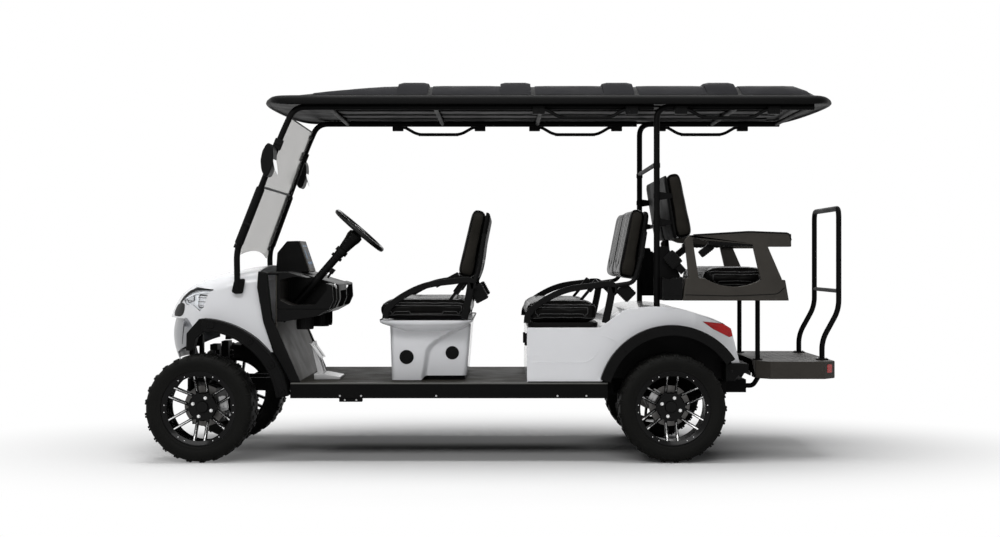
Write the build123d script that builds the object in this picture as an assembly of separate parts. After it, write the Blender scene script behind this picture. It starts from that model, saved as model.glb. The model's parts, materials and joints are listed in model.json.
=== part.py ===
from build123d import *
from math import cos, hypot, pi, radians, sin
import os

os.makedirs("parts", exist_ok=True)

# A six-seat electric golf cart with lifted suspension, two forward bench rows and one
# rear-facing row over a step platform. Millimetres, +X forwards, +Y to the cart's left,
# +Z up from the floor. X = 0 and Y = 0 are at the middle of the whole cart.

# ---- Driving dimensions ---------------------------------------------------------------

seat_gap = 0.3             # what is left between two pieces that rest on each other

# Wheels and axles
front_axle_x = 1555.0
wheelbase = 2450.0
track = 1056.0             # between the middles of the two tyres of an axle
tyre_radius = 280.0        # out to the tips of the tread lugs
tyre_width = 254.0
tyre_bead_width = 232.0
tyre_widest_radius = 240.0
tread_width = 216.0
lug_height = 9.0
lug_length = 40.0          # around the tyre
lugs_a_side = 18
lug_inner = 34.0           # from the tyre's middle out to a lug's inner end
rim_radius = 195.0
rim_wall = 12.0
rim_lip_depth = 15.0       # from the tyre's outer face back to the rim's lip
rim_inner_depth = 12.0     # the same on the inner side
spoke_pairs = 6
spoke_width = 15.0
spoke_pair_spread = 54.0   # between the middles of the two spokes of a pair
hub_radius = 75.0
hub_thickness = 28.0
hub_offset = 7.0           # the hub's outer face, outboard of the tyre's middle
hub_cap_radius = 32.0
hub_cap_height = 16.0
hub_boss_radius = 40.0
hub_boss_length = 32.0
spindle_radius = 18.0
running_gap = 0.3          # around a spindle in its hub, and above and below a kingpin

# Steering
kingpin_y = 440.0
kingpin_radius = 22.0
kingpin_height = 168.0
damper_top_z = 560.0
damper_coil_radius = 30.0
damper_lean = 45.0         # how much further in its top is than its foot
tower_ear = 30.0
steering_arm = 110.0       # from the kingpin back to the tie rod's eye
steering_arm_height = 12.0
tie_rod_drop = 57.0        # the tie rod's middle below the axle
tie_rod_radius = 9.0
tie_rod_eye_radius = 15.0
steering_wheel_radius = 168.0
steering_rim_radius = 13.0
steering_hub_radius = 34.0
steering_hub_height = 30.0
steering_wheel_y = 280.0
steering_wheel_x = 757.0
steering_wheel_z = 1207.0
column_tilt = 41.0         # the column's axis, from upright towards the driver
column_radius = 22.0
column_head_radius = 42.0
column_head_length = 120.0
column_head_drop = 34.0    # from the steering wheel's middle down to the column's head

# Frame and floor
sill_bottom_z = 330.0
sill_height = 74.0
sill_width = 50.0
sill_front_x = 1089.0
sill_rear_x = -562.0
floor_half_width = 590.0
deck_thickness = 8.0
rail_height = 70.0
rail_width = 50.0
main_rail_y = 225.0        # inner face of each main rail
front_rail_y = 110.0       # inner face of each front rail
main_rail_front_x = 1060.0
main_rail_rear_x = -1330.0
front_rail_front_x = 1700.0
cross_member_width = 60.0
beam_hole_spread = 120.0    # four bolt holes in the front beam, for a guard or a tow eye
beam_hole_rise = 30.0
beam_hole_radius = 5.5
subframe_rear_x = 1475.0
subframe_front_x = 1685.0
subframe_bottom_z = 150.0
subframe_wall = 20.0

# Front body
cowl_wall = 5.0
cowl_half_width = 580.0    # at the height of the wheel arch
cowl_tumblehome = 35.0     # how much each side leans in up to the shoulder
cowl_crown = 25.0          # how much the bonnet rises to its middle
cowl_base_z = 560.0
front_arch_radius = 450.0
front_flare_radius = 466.0
front_flare_depth = 64.0
flare_stand = 45.0         # how far a front flare stands out of the cowl
flare_wall = 6.0
front_liner_half_width = 380.0
fascia_wall = 5.0
fascia_top_z = 738.0
fascia_bottom_z = 512.0
fascia_half_width = 430.0
fascia_rear_x = 1640.0
grille_half_width = 225.0
grille_wall = 6.0
grille_slots = 5
lamp_depth = 30.0
trim_width = 38.0
firewall_wall = 6.0
firewall_x = 1165.0
firewall_knee_z = 690.0
firewall_toe_x = 1049.0
dash_top_z = 985.0
dash_top_thickness = 14.0
dash_shelf_z = 790.0       # the floor of the open pockets
cup_radius = 44.0
cup_wall = 4.0
cup_depth = 70.0

# Seats: every row is as wide, and its backs are as thick
seat_inset = 35.0          # how much narrower a cushion is than the rear body, each side
back_inset = 26.0          # how much narrower a row of backs is than its cushion
cushion_corner = 40.0
back_split = 18.0          # between the two backs of a row
back_thickness = 92.0
back_top_thickness = 76.0
arm_tube_radius = 12.0
pod_wall = 6.0
pod_half_width = 430.0
pod_step = 35.0            # how much narrower the pod is behind its step
pod_front_x = 584.0
pod_rear_x = 160.0
pod_rim_bottom_z = 681.0
pod_rim_z = 738.0
pod_rim_front_x = 631.0
pod_rim_rear_x = 140.0
pod_rim_margin = 5.0       # how far the pod's rim stands out past the cushion

# Rear body
rear_body_half_width = 575.0
rear_body_wall = 6.0
seat_box_front_x = -142.0
seat_box_z = 696.0
rear_body_rear_x = -1264.0
rear_body_bottom_z = 506.0
fender_top_z = 806.0
rear_arch_z = 325.0        # the middle of the rear wheel arch, above the axle
rear_arch_radius = 372.0
rear_flare_radius = 386.0
rear_flare_depth = 54.0
rear_flare_stand = 50.0    # how far a rear flare stands out of the rear body
rear_liner_half_width = 390.0
lid_board_thickness = 25.0
lid_board_margin = 12.0
bay_front_x = -175.0
bay_rear_x = -485.0
bay_margin = 60.0          # how much narrower the battery bay is than the cushion
battery_height = 230.0
battery_half_width = 380.0
battery_length = 300.0

# Rear seat, step and bars
pillar_radius = 16.0
rear_pillar_x = -824.0
rail_y = 505.0             # the roof rails and both pairs of pillars
tub_overhang = 40.0        # how far the rear seat's tub stands out past the rear body
tub_bottom_z = 838.0
tub_rim_z = 955.0
tub_front_x = -949.0
tub_rear_x = -1498.0
tub_wall = 8.0
tub_floor_z = 890.0
arm_width = 70.0
step_half_width = 473.0
step_front_x = -1359.0
step_rear_x = -1781.0
step_z = 513.0
step_depth = 92.0
step_wall = 5.0
post_radius = 13.0
post_x = -1385.0
post_y = 315.0
grab_radius = 15.0
grab_y = 320.0
grab_rear_x = -1820.0
grab_foot_x = -1730.0
grab_top_z = 1326.0
grab_rung_z = 882.0

# Roof and windscreen
roof_half_width = 590.0
roof_bottom_z = 1858.0
roof_rim_height = 50.0
roof_lip = 10.0            # how far the rim hangs below the roof's underside
roof_lip_width = 14.0
roof_front_x = 1286.0
roof_front_corner_x = 1180.0
roof_rear_corner_x = -1690.0
roof_rear_x = -1820.0
roof_corner_radius = 60.0
roof_plateau_z = 1982.0
roof_plateau_front_x = 541.0
roof_plateau_rear_x = -1582.0
roof_plateau_half_width = 340.0
roof_ribs = 4
roof_rib_height = 18.0
roof_rib_length = 160.0
roof_rib_pitch = 543.0
roof_rib_first_x = 460.0
handle_radius = 10.0
handle_drop = 54.0
handle_grip = 210.0
handle_reach = 110.0
handle_foot = 40.0
screen_thickness = 5.0
screen_split_z = 1432.0
screen_bottom_z = 1058.0
screen_top_z = 1800.0
screen_bar_radius = 6.5
sleeve_radius = 23.0
mirror_stalk = 46.0        # from the pillar out to the mirror's head
mirror_width = 130.0
pillar_foot_inset = 14.0   # how far inside the cowl's widest line each pillar stands
pillar_bend_inset = 18.0   # the same where the pillar bends back over the cowl
pillar_top_spread = 11.0   # how far outside the roof rail each pillar's long run ends

bend_step = radians(32.0)  # how far each short run of a tube's bend turns
tube_sides = 10            # flats around a tube

# ---- Heights and places that follow from them -----------------------------------------

axle_z = tyre_radius
rear_axle_x = front_axle_x - wheelbase
wheel_y = track / 2
dash_half_width = cowl_half_width - cowl_tumblehome - cowl_wall
flare_half_width = cowl_half_width + flare_stand
rear_flare_half_width = rear_body_half_width + rear_flare_stand
cushion_half_width = rear_body_half_width - seat_inset
back_width = cushion_half_width - back_inset - back_split / 2
pod_rim_half_width = cushion_half_width + pod_rim_margin
bay_half_width = cushion_half_width - bay_margin
tub_half_width = rear_body_half_width + tub_overhang
rail_top_z = sill_bottom_z + sill_height
rail_bottom_z = rail_top_z - rail_height
floor_z = rail_top_z + deck_thickness
roof_underside_z = roof_bottom_z + roof_lip
rail_z = roof_underside_z - seat_gap - pillar_radius
damper_y = front_rail_y + rail_width + 95
kingpin_bottom_z = axle_z - kingpin_height / 2
kingpin_top_z = axle_z + kingpin_height / 2


# ---- Making and writing ---------------------------------------------------------------

def write(node, *shapes):
    """Write a node's separate solids to its own STEP file."""
    solids = [solid for shape in shapes for solid in shape.solids()]
    export_step(Compound(solids), f"parts/{node}.step")


def block(x0, x1, y0, y1, z0, z1):
    """A rectangular block between two corners."""
    size = (abs(x1 - x0), abs(y1 - y0), abs(z1 - z0))
    return Pos((x0 + x1) / 2, (y0 + y1) / 2, (z0 + z1) / 2) * Box(*size)


def wide_block(x0, x1, half_width, z0, z1):
    """A rectangular block, as wide to the left as to the right."""
    return block(x0, x1, -half_width, half_width, z0, z1)


def side_plate(outline, y0, y1, radius=0.0):
    """An outline of (x, z) corners, rounded by radius, made solid from y0 to y1."""
    corners = [(x, y0, z) for x, z in outline]
    if radius:
        edge = FilletPolyline(*corners, radius=radius, close=True)
    else:
        edge = Polyline(*corners, close=True)
    return extrude(Face(Wire(edge.edges())), y1 - y0, dir=(0, 1, 0))


def flat_plate(outline, z0, z1, radius=0.0):
    """An outline of (x, y) corners, rounded by radius, made solid from z0 to z1."""
    corners = [(x, y, z0) for x, y in outline]
    if radius:
        edge = FilletPolyline(*corners, radius=radius, close=True)
    else:
        edge = Polyline(*corners, close=True)
    return extrude(Face(Wire(edge.edges())), z1 - z0, dir=(0, 0, 1))


def rod(start, end, radius, end_radius=None):
    """A round bar from one point to another, tapering if it has an end radius."""
    line = Vector(*end) - Vector(*start)
    place = Plane(origin=start, z_dir=line)
    low = (Align.CENTER, Align.CENTER, Align.MIN)
    if end_radius is None:
        return place * Cylinder(radius, line.length, align=low)
    return place * Cone(radius, end_radius, line.length, align=low)


def bent_tube(points, bend, radius):
    """A round tube along straight runs; each bend is a few short runs tangent to its arc."""
    path = FilletPolyline(*points, radius=bend)
    corners = [path @ 0]
    for arc in path.edges().filter_by(GeomType.CIRCLE):
        turn = arc.length / arc.radius
        runs = max(1, round(turn / bend_step))
        reach = 1 / cos(turn / runs / 2)
        middles = [arc @ ((run + 0.5) / runs) for run in range(runs)]
        corners += [arc.arc_center + (middle - arc.arc_center) * reach for middle in middles]
    line = Polyline(*corners, path @ 1)
    start = Plane(origin=line @ 0, z_dir=line % 0)
    return sweep(start * RegularPolygon(radius, tube_sides), path=line,
                 transition=Transition.RIGHT)


def straight_tube(start, end, radius):
    """A tube with no bend from one point to another."""
    line = Vector(*end) - Vector(*start)
    section = Plane(origin=start, z_dir=line) * RegularPolygon(radius, tube_sides)
    return extrude(section, line.length, dir=line)


def cross_tube(x, z, radius, half_width):
    """A tube across the cart."""
    return straight_tube((x, -half_width, z), (x, half_width, z), radius)


def cross_drum(x, z, radius, y0, y1):
    """A drum on an axis across the cart."""
    return rod((x, y0, z), (x, y1, z), radius)


def both_sides(shape):
    """The shape on the left and its mirror image on the right."""
    return [shape, mirror(shape, about=Plane.XZ)]


def joined(shapes):
    """One solid from pieces that run into each other."""
    first, *others = shapes
    for other in others:
        first = first + other
    return first


# ---- Frame: main rails, narrow front rails, subframe, cross members ---------------------

def ladder_frame():
    rails = [
        # x from, x to, inner y
        (main_rail_rear_x, main_rail_front_x, main_rail_y),
        (main_rail_front_x - rail_width, front_rail_front_x - subframe_wall - seat_gap,
         front_rail_y),
    ]
    pieces = []
    for x0, x1, y in rails:
        pieces += both_sides(block(x0, x1, y, y + rail_width, rail_bottom_z, rail_top_z))
    for x in cross_member_places():
        pieces.append(wide_block(x, x + cross_member_width, sill_inner_y() - seat_gap,
                                 rail_bottom_z, rail_top_z))
    pieces.append(wide_block(main_rail_rear_x, main_rail_rear_x + rail_width,
                             main_rail_y + rail_width, rail_bottom_z, rail_top_z))
    return joined(pieces)


def front_subframe():
    """Cheeks under the rails, damper towers on them, and the beam across their front ends."""
    outer = front_rail_y + rail_width
    pieces = []
    cheek = block(subframe_rear_x, subframe_front_x, outer - subframe_wall, outer,
                  subframe_bottom_z, rail_bottom_z - seat_gap)
    window = block(subframe_rear_x + 50, subframe_front_x - 50, 0, outer + 1,
                   axle_z - 50, axle_z + 30)
    cradle = both_sides(cheek - window)
    for x in (subframe_rear_x, subframe_front_x - subframe_wall):
        cradle.append(wide_block(x, x + subframe_wall, outer, subframe_bottom_z,
                                 subframe_bottom_z + rail_width))
    beam_x = front_rail_front_x - subframe_wall
    beam = wide_block(beam_x, front_rail_front_x, outer + rail_width, rail_bottom_z, rail_top_z)
    middle_z = (rail_bottom_z + rail_top_z) / 2
    for y in (-beam_hole_spread / 2, beam_hole_spread / 2):
        for z in (middle_z - beam_hole_rise / 2, middle_z + beam_hole_rise / 2):
            beam = beam - rod((beam_x - 1, y, z), (front_rail_front_x + 1, y, z),
                              beam_hole_radius)
    pieces.append(beam)
    tower = block(front_axle_x - 20, front_axle_x + 20, front_rail_y, outer,
                  rail_top_z + seat_gap, damper_top_z + tower_ear)
    ear = block(front_axle_x - 20, front_axle_x + 20, outer, damper_y - 30,
                damper_top_z + seat_gap, damper_top_z + tower_ear)
    towers = both_sides(tower + ear)
    upright = block(beam_x, front_rail_front_x, outer - rail_width, outer,
                    rail_top_z, fascia_top_z - rail_width)
    reach = block(front_rail_front_x, roof_front_x * 2, outer - rail_width, outer,
                  fascia_bottom_z + rail_width, fascia_bottom_z + rail_width * 2)
    reach = reach & fascia_solid(fascia_wall + seat_gap)
    pieces += both_sides(upright) + both_sides(reach)
    return [joined(cradle), joined(pieces)] + towers


def sill_inner_y():
    return floor_half_width - sill_width


def cross_member_places():
    """The rear edge of each cross member that reaches out to the sills."""
    span = sill_front_x - sill_rear_x - cross_member_width
    return [sill_rear_x + span * share for share in (0.0, 0.25, 0.5, 0.75, 1.0)]


def side_sills():
    jack_x = sill_front_x - 254
    jack_pad = block(jack_x - 120, jack_x, sill_inner_y() + 5, floor_half_width - 5,
                     sill_bottom_z - 19, sill_bottom_z)
    sill = block(sill_rear_x, sill_front_x, sill_inner_y(), floor_half_width,
                 sill_bottom_z, rail_top_z)
    return both_sides(sill + jack_pad)


def floor_deck():
    return wide_block(sill_rear_x, sill_front_x, floor_half_width, rail_top_z, floor_z)


# ---- Bonnet and cowl: one moulding, open behind and below -------------------------------

cowl_stations = [
    # x, height of the bonnet's middle, half width, shoulder radius
    (1150.0, 1022.0, 580.0, 70.0),
    (1400.0, 1001.0, 580.0, 80.0),
    (1560.0, 962.0, 545.0, 90.0),
    (1690.0, 905.0, 425.0, 95.0),
    (1786.0, 800.0, 255.0, 70.0),
]


def cowl_section(x, top, half_width, corner, inset):
    """The cowl's cross section at x, moved inwards by inset all round."""
    foot = half_width - inset
    side = foot - cowl_tumblehome
    top_z = top - inset
    shoulder_z = top_z - cowl_crown
    round_in = corner * (1 - cos(pi / 4))
    left = [(foot, cowl_base_z - inset), (side, shoulder_z - corner),
            (side - round_in, shoulder_z - round_in), (side - corner, shoulder_z)]
    right = [(-y, z) for y, z in left]
    edges = [
        Line(right[0], left[0]),
        Line(left[0], left[1]),
        ThreePointArc(left[1], left[2], left[3]),
        ThreePointArc(left[3], (0, top_z), right[3]),
        ThreePointArc(right[3], right[2], right[1]),
        Line(right[1], right[0]),
    ]
    place = Plane(origin=(x, 0, 0), x_dir=(0, 1, 0), z_dir=(1, 0, 0))
    return place * make_face(edges)


def cowl_solid(inset):
    """The cowl as if it were full, inset from its outer skin."""
    sections = []
    for row, (x, top, half_width, corner) in enumerate(cowl_stations):
        last = row == len(cowl_stations) - 1
        widen = half_width / cowl_stations[0][2] * cowl_half_width
        sections.append(cowl_section(x - inset if last else x, top, widen, corner, inset))
    return loft(sections)


cowl_rear_edge = [(1257.0, 1100.0), (1257.0, 991.0), (1263.0, 906.0), (1231.0, 725.0),
                  (1179.0, 569.0)]
cowl_front_edge = [(1674.0, 738.0), (1637.0, 623.0), (1580.0, 647.0)]
head_lamp_outline = [(1498.0, 893.0), (1527.0, 875.0), (1552.0, 801.0), (1575.0, 780.0),
                     (1622.0, 815.0), (1658.0, 806.0), (1690.0, 850.0), (1600.0, 905.0)]


def cowl_field():
    """All that lies above the cowl's lower edges and in front of its rear edge."""
    far_x = roof_front_x * 2
    nose = [(far_x, fascia_top_z + seat_gap), cowl_front_edge[0]]
    outline = [(far_x, cowl_rear_edge[0][1])] + cowl_rear_edge + \
              [(cowl_front_edge[2][0], cowl_rear_edge[-1][1])] + cowl_front_edge[::-1][:2] + nose[::-1]
    field = side_plate(outline, -cowl_half_width * 2, cowl_half_width * 2)
    arch = cross_drum(front_axle_x, axle_z, front_arch_radius,
                      -cowl_half_width * 2, cowl_half_width * 2)
    behind = wide_block(0, cowl_front_edge[2][0], cowl_half_width * 2, 0, roof_bottom_z)
    return field - (arch & behind)


def head_lamp_field(margin):
    """The left lamp's opening, wider by margin, from the bonnet's middle outwards."""
    plate = side_plate(head_lamp_outline, grille_half_width + 15, cowl_half_width + 1)
    if not margin:
        return plate
    return joined([plate] + [Pos(dx, 0, dz) * plate for dx in (-margin, margin)
                             for dz in (-margin, margin)])


def grille_field(margin):
    """The grille's opening across the nose, wider by margin."""
    rim = 3 * grille_wall
    return wide_block(cowl_stations[3][0] + 20, cowl_stations[4][0] + 10,
                      grille_half_width + margin,
                      fascia_top_z + rim - margin, cowl_stations[4][1] + 5 + margin)


def front_cowl(outer):
    shell = (outer - cowl_solid(cowl_wall)) & cowl_field()
    shell = shell - grille_field(seat_gap)
    for lamp in both_sides(head_lamp_field(seat_gap)):
        shell = shell - lamp
    return shell


def headlamps(outer):
    lens = (outer & head_lamp_field(0)) - cowl_solid(lamp_depth)
    return both_sides(lens)


def grille():
    """A plate across the nose with one slot above the other."""
    panel = (cowl_solid(cowl_wall) - cowl_solid(cowl_wall + grille_wall)) & grille_field(0)
    low = fascia_top_z + 3 * grille_wall
    pitch = (cowl_stations[4][1] + 5 - low) / grille_slots
    for row in range(grille_slots):
        z = low + pitch * row + pitch / 4
        for side in (-1, 1):
            panel -= block(cowl_stations[3][0], cowl_stations[4][0], side * 8,
                           side * (grille_half_width - 20), z, z + pitch / 2)
    return panel


# ---- Lower nose: a bowed fascia hung on the frame's uprights ----------------------------

fascia_levels = [
    # z, how far the middle stands forward
    (fascia_bottom_z, 1772.0),
    (640.0, 1804.0),
    (fascia_top_z, 1788.0),
]


def fascia_solid(inset):
    """The fascia as if it were full, inset from its face."""
    sections = []
    for z, front in fascia_levels:
        side = (fascia_rear_x - inset, fascia_half_width - inset)
        other = (side[0], -side[1])
        bow = ThreePointArc(side, (front - inset, 0), other)
        sections.append(Pos(0, 0, z) * make_face([bow, Line(other, side)]))
    return loft(sections)


def nose_fascia():
    hollow = fascia_solid(fascia_wall)
    open_ends = hollow + Pos(0, 0, -fascia_wall) * hollow + Pos(0, 0, fascia_wall) * hollow
    shell = fascia_solid(0) - open_ends - Pos(-fascia_wall, 0, 0) * open_ends
    band = side_plate([(1640, fascia_bottom_z - 5), (1640, 625), (1674 + 6, fascia_top_z + 5),
                       (1900, fascia_top_z + 5), (1900, fascia_bottom_z - 5)],
                      -fascia_half_width, fascia_half_width)
    wheels = cross_drum(front_axle_x, axle_z, tyre_radius + 50, -fascia_half_width - 1,
                        fascia_half_width + 1)
    wheels = wheels - cross_drum(front_axle_x, axle_z, tyre_radius + 51, -240, 240)
    return (shell & band) - wheels


# ---- Wheel arches: a flare outside the body, and a liner inside it ----------------------

def arch_band(x, z, outer, inner, y0, y1, start, end):
    """A band around an arch's middle, between two angles from +X up over the wheel."""
    ring = cross_drum(x, z, outer, y0, y1) - cross_drum(x, z, inner, y0 - 1, y1 + 1)
    reach = 2 * outer
    middle = (start + end) / 2
    fan = [(x, z)] + [(x + reach * cos(radians(a)), z + reach * sin(radians(a)))
                      for a in (start, (start + middle) / 2, middle, (middle + end) / 2, end)]
    return ring & side_plate(fan, y0 - 1, y1 + 1)


def moulded_flare(x, z, radius, depth, y0, y1, start, end):
    """A flare's top and outer wall: hollow behind, open towards the wheel."""
    whole = arch_band(x, z, radius, radius - depth, y0, y1, start, end)
    hollow = arch_band(x, z, radius - flare_wall, radius - depth - 1, y0 - 1,
                       y1 - flare_wall, start, end)
    return whole - hollow


def front_flares(outer):
    skin = cowl_solid(-seat_gap)
    flare = moulded_flare(front_axle_x, axle_z, front_flare_radius, front_flare_depth,
                          cowl_half_width - 45, flare_half_width, 92, 172)
    toe = side_plate([(1512, 741), (1560, 743), (1625, 668), (1628, 578), (1596, 578),
                      (1575, 645), (1540, 672), (1512, 690)],
                     cowl_half_width - 60, flare_half_width - 25)
    flare = flare + toe - skin
    liner = arch_band(front_axle_x, axle_z, front_arch_radius - seat_gap,
                      front_arch_radius - 5, front_liner_half_width, cowl_half_width - 8, 97, 168)
    return both_sides(flare) + both_sides(liner)


# ---- Footwell: side trims, firewall, dashboard, steering column, pedals -----------------

def cowl_trim():
    """The door opening's front edge, a thick moulding that follows the cowl."""
    front = [(x - seat_gap, z) for x, z in cowl_rear_edge[1:]]
    outline = front + [(1090.0, floor_z), (1036.0, floor_z), (1156.0, 684.0),
                       (1186.0, 745.0), (1211.0, dash_top_z)]
    inner = dash_half_width + 5 + seat_gap
    return both_sides(side_plate(outline, inner, inner + trim_width))


def firewall():
    wall = firewall_wall
    top = dash_top_z - dash_top_thickness - seat_gap
    outline = [(firewall_x, top), (firewall_x, firewall_knee_z), (firewall_toe_x, floor_z),
               (firewall_toe_x + wall + 1, floor_z), (firewall_x + wall, firewall_knee_z - 2),
               (firewall_x + wall, top)]
    return side_plate(outline, -dash_half_width - 5, dash_half_width + 5)


dash_outline = [(1108.0, dash_top_z), (876.0, 916.0), (871.0, 837.0), (892.0, dash_shelf_z)]
shelf_outline = [(892.0, dash_shelf_z - seat_gap), (961.0, 753.0), (1135.0, 726.0)]
dash_back_x = firewall_x - seat_gap
display_outline = [(1171.0, 1152.0), (1107.0, 1154.0), (1048.0, 980.0), (1229.0, 980.0),
                   (1229.0, 1016.0), (1224.0, 1088.0)]


def column_slots():
    """The room that the steering column takes through the dashboard and its shelf."""
    foot_z = shelf_outline[-1][1] - 1
    wide = block(800, dash_back_x - 20, steering_wheel_y - 60, steering_wheel_y + 60,
                 foot_z, dash_top_z - dash_top_thickness)
    narrow = block(800, firewall_x, steering_wheel_y - 35, steering_wheel_y + 35,
                   foot_z, dash_shelf_z + 10)
    return wide + narrow


def dashboard():
    """Top ledge, instrument pod, and the walls of three open pockets."""
    body = side_plate([(dash_back_x, dash_top_z)] + dash_outline + [(dash_back_x, dash_shelf_z)],
                      -dash_half_width, dash_half_width)
    ledge = wide_block(dash_back_x - 10, cowl_rear_edge[1][0] - seat_gap, dash_half_width + 4,
                       dash_top_z - dash_top_thickness, dash_top_z)
    pod = side_plate(display_outline, -130, 130)
    dash = body + ledge + pod - column_slots()
    pockets = [
        # y from, y to, top z
        (steering_wheel_y + 90, dash_half_width - 25, 905),
        (-dash_half_width + 25, -180, 905),
        (-150, 150, 880),
    ]
    for y0, y1, top_z in pockets:
        dash = dash - block(800, 1080, y0, y1, dash_shelf_z - 1, top_z)
    return dash


def cup_shelf():
    """The pockets' floor, with four cups hung in it."""
    outline = shelf_outline + [(dash_back_x, shelf_outline[-1][1]),
                               (dash_back_x, dash_shelf_z - seat_gap)]
    shelf = side_plate(outline, -dash_half_width, dash_half_width) - column_slots()
    cup_foot = shelf_outline[1][1] - cup_depth
    rim_z = dash_shelf_z - seat_gap
    for x, y in ((1030, dash_half_width - 100), (990, 75), (990, -75),
                 (1030, -dash_half_width + 100)):
        cup = rod((x, y, cup_foot), (x, y, rim_z), cup_radius)
        bore = rod((x, y, cup_foot + cup_wall), (x, y, rim_z + 1), cup_radius - cup_wall)
        shelf = shelf + cup - bore
    return shelf


column_axis = Vector(-sin(radians(column_tilt)), 0, cos(radians(column_tilt)))
steering_middle = Vector(steering_wheel_x, steering_wheel_y, steering_wheel_z)
column_head = steering_middle - column_axis * column_head_drop
column_shoulder = column_head - column_axis * column_head_length


def steering_column():
    """A tube from the firewall up to the shroud under the wheel, on a dash bracket."""
    reach = (column_shoulder.X - firewall_x) / column_axis.X
    foot = column_shoulder - column_axis * (reach + column_radius * 2)
    tube = rod(foot, column_shoulder, column_radius)
    tube = tube & wide_block(0, firewall_x - seat_gap, dash_half_width, 0, roof_bottom_z)
    head = rod(column_shoulder, column_head, column_radius + 6,
               column_head_radius)
    collar_end = column_shoulder - column_axis * 30
    collar = rod(collar_end, column_shoulder, column_radius + 12)
    bracket_x = 1010.0
    along = (bracket_x - column_shoulder.X) / column_axis.X
    seat = column_shoulder + column_axis * along
    bracket = block(bracket_x - 20, bracket_x + 20, steering_wheel_y - 60 + seat_gap,
                    steering_wheel_y + 60 - seat_gap, seat.Z - 12, seat.Z + 12)
    return joined([tube, head, collar, bracket])


def steering_wheel():
    """A padded rim on three spokes, its hub a running gap above the column's head."""
    flat = Plane(origin=steering_middle, z_dir=column_axis)
    middle = steering_wheel_radius - steering_rim_radius
    section = Plane.XZ * Pos(middle, 0) * RegularPolygon(steering_rim_radius, 10)
    ring = flat * revolve(section, Axis.Z)
    hub_low = column_head + column_axis * running_gap
    hub = rod(hub_low, steering_middle, steering_hub_radius,
              steering_hub_radius + 14)
    spokes = []
    for turn in (0, 180, 270):
        bar = Pos(middle / 2, 0, -4) * Box(middle, 26, 8)
        spokes.append(flat * Rot(0, 0, turn + 90) * bar)
    return joined([hub, ring] + spokes)


def pedals():
    """A cast base on the floor with the brake and accelerator plates leaning on it."""
    y = steering_wheel_y
    base = side_plate([(990, floor_z), (850, floor_z), (850, floor_z + 14), (935, floor_z + 30),
                       (990, floor_z + 30)], y - 105, y + 105)
    lever = [(975, floor_z + 25), (1012, 600), (1000, 612), (945, floor_z + 25)]
    pad = [(1004, 600), (1016, 606), (965, 530), (950, 522)]
    pieces = [base]
    for low, high in ((y - 95, y - 35), (y + 5, y + 95)):
        middle = (low + high) / 2
        pieces.append(side_plate(lever, middle - 10, middle + 10))
        pieces.append(side_plate(pad, low, high))
    return joined(pieces)


# ---- Rear body: seat box, fenders, open below and around the wheels ---------------------

def rear_body_profile(inset):
    """The rear body's side outline, its upper lines moved inwards by inset."""
    box_x = seat_box_front_x - inset
    rear_x = rear_body_rear_x + inset
    bottom = floor_z + seat_gap if not inset else 0
    rear_bottom = rear_body_bottom_z if not inset else 0
    rise = (-640.0 - inset / 2, 783.0 - inset)
    crest = (-800.0, fender_top_z - inset)
    fall = (-1042.0, fender_top_z - 42.0 - inset)
    tail = (-1215.0 + inset, 688.0 - inset / 2)
    edges = [
        Line((box_x, bottom), (box_x, seat_box_z - inset)),
        Line((box_x, seat_box_z - inset), (-520.0 - inset, seat_box_z - inset)),
        Line((-520.0 - inset, seat_box_z - inset), rise),
        ThreePointArc(rise, crest, fall),
        ThreePointArc(fall, (-1150.0 + inset / 2, 726.0 - inset), tail),
        Line(tail, (rear_x, rear_bottom)),
    ]
    if inset:
        edges.append(Line((rear_x, rear_bottom), (box_x, bottom)))
    else:
        step_x = rear_axle_x - rear_arch_radius / 2
        edges += Polyline((rear_x, rear_bottom), (step_x, rear_bottom), (step_x, bottom),
                          (box_x, bottom)).edges()
    return Plane.XZ * make_face(edges)


def rear_body_solid(inset):
    """The rear body as if it were full, inset from its skin."""
    half = rear_body_half_width - inset
    whole = extrude(rear_body_profile(inset), half, both=True)
    plan = flat_plate([(0, half), (0, -half), (-1010, -half), (rear_body_rear_x + inset, -half + 95),
                       (rear_body_rear_x + inset, half - 95), (-1010, half)],
                      -1, roof_bottom_z)
    return whole & plan


tail_lamp_outline = [(-1060.0, 727.0), (-1169.0, 715.0), (-1230.0, 684.0), (-1222.0, 648.0),
                     (-1204.0, 644.0), (-1113.0, 689.0)]


def tail_lamp_field(margin):
    plate = side_plate(tail_lamp_outline, rear_body_half_width - 130, rear_body_half_width + 1)
    if not margin:
        return plate
    return joined([plate] + [Pos(dx, 0, dz) * plate for dx in (-margin, margin)
                             for dz in (-margin, margin)])


def rear_body(outer):
    shell = outer - rear_body_solid(rear_body_wall)
    shell = shell - cross_drum(rear_axle_x, rear_arch_z, rear_arch_radius,
                               -rear_body_half_width - 1, rear_body_half_width + 1)
    shell = shell - wide_block(bay_rear_x, bay_front_x, bay_half_width, seat_box_z - 20,
                               seat_box_z + 1)
    for side in (-1, 1):
        shell = shell - Pos(rear_pillar_x, side * rail_y, fender_top_z) * Cylinder(
            pillar_radius + rear_body_wall, 200)
    for lamp in both_sides(tail_lamp_field(seat_gap)):
        shell = shell - lamp
    return shell


def tail_lamps(outer):
    return both_sides((outer & tail_lamp_field(0)) - rear_body_solid(lamp_depth))


def rear_flares():
    low, high = 15.5, 147
    flare = moulded_flare(rear_axle_x, rear_arch_z, rear_flare_radius, rear_flare_depth,
                          rear_body_half_width + seat_gap, rear_flare_half_width, low, high)
    liner = arch_band(rear_axle_x, rear_arch_z, rear_arch_radius - seat_gap,
                      rear_arch_radius - 6, rear_liner_half_width,
                      rear_body_half_width - rear_body_wall - seat_gap, low, high)
    return both_sides(flare) + both_sides(liner)


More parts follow.
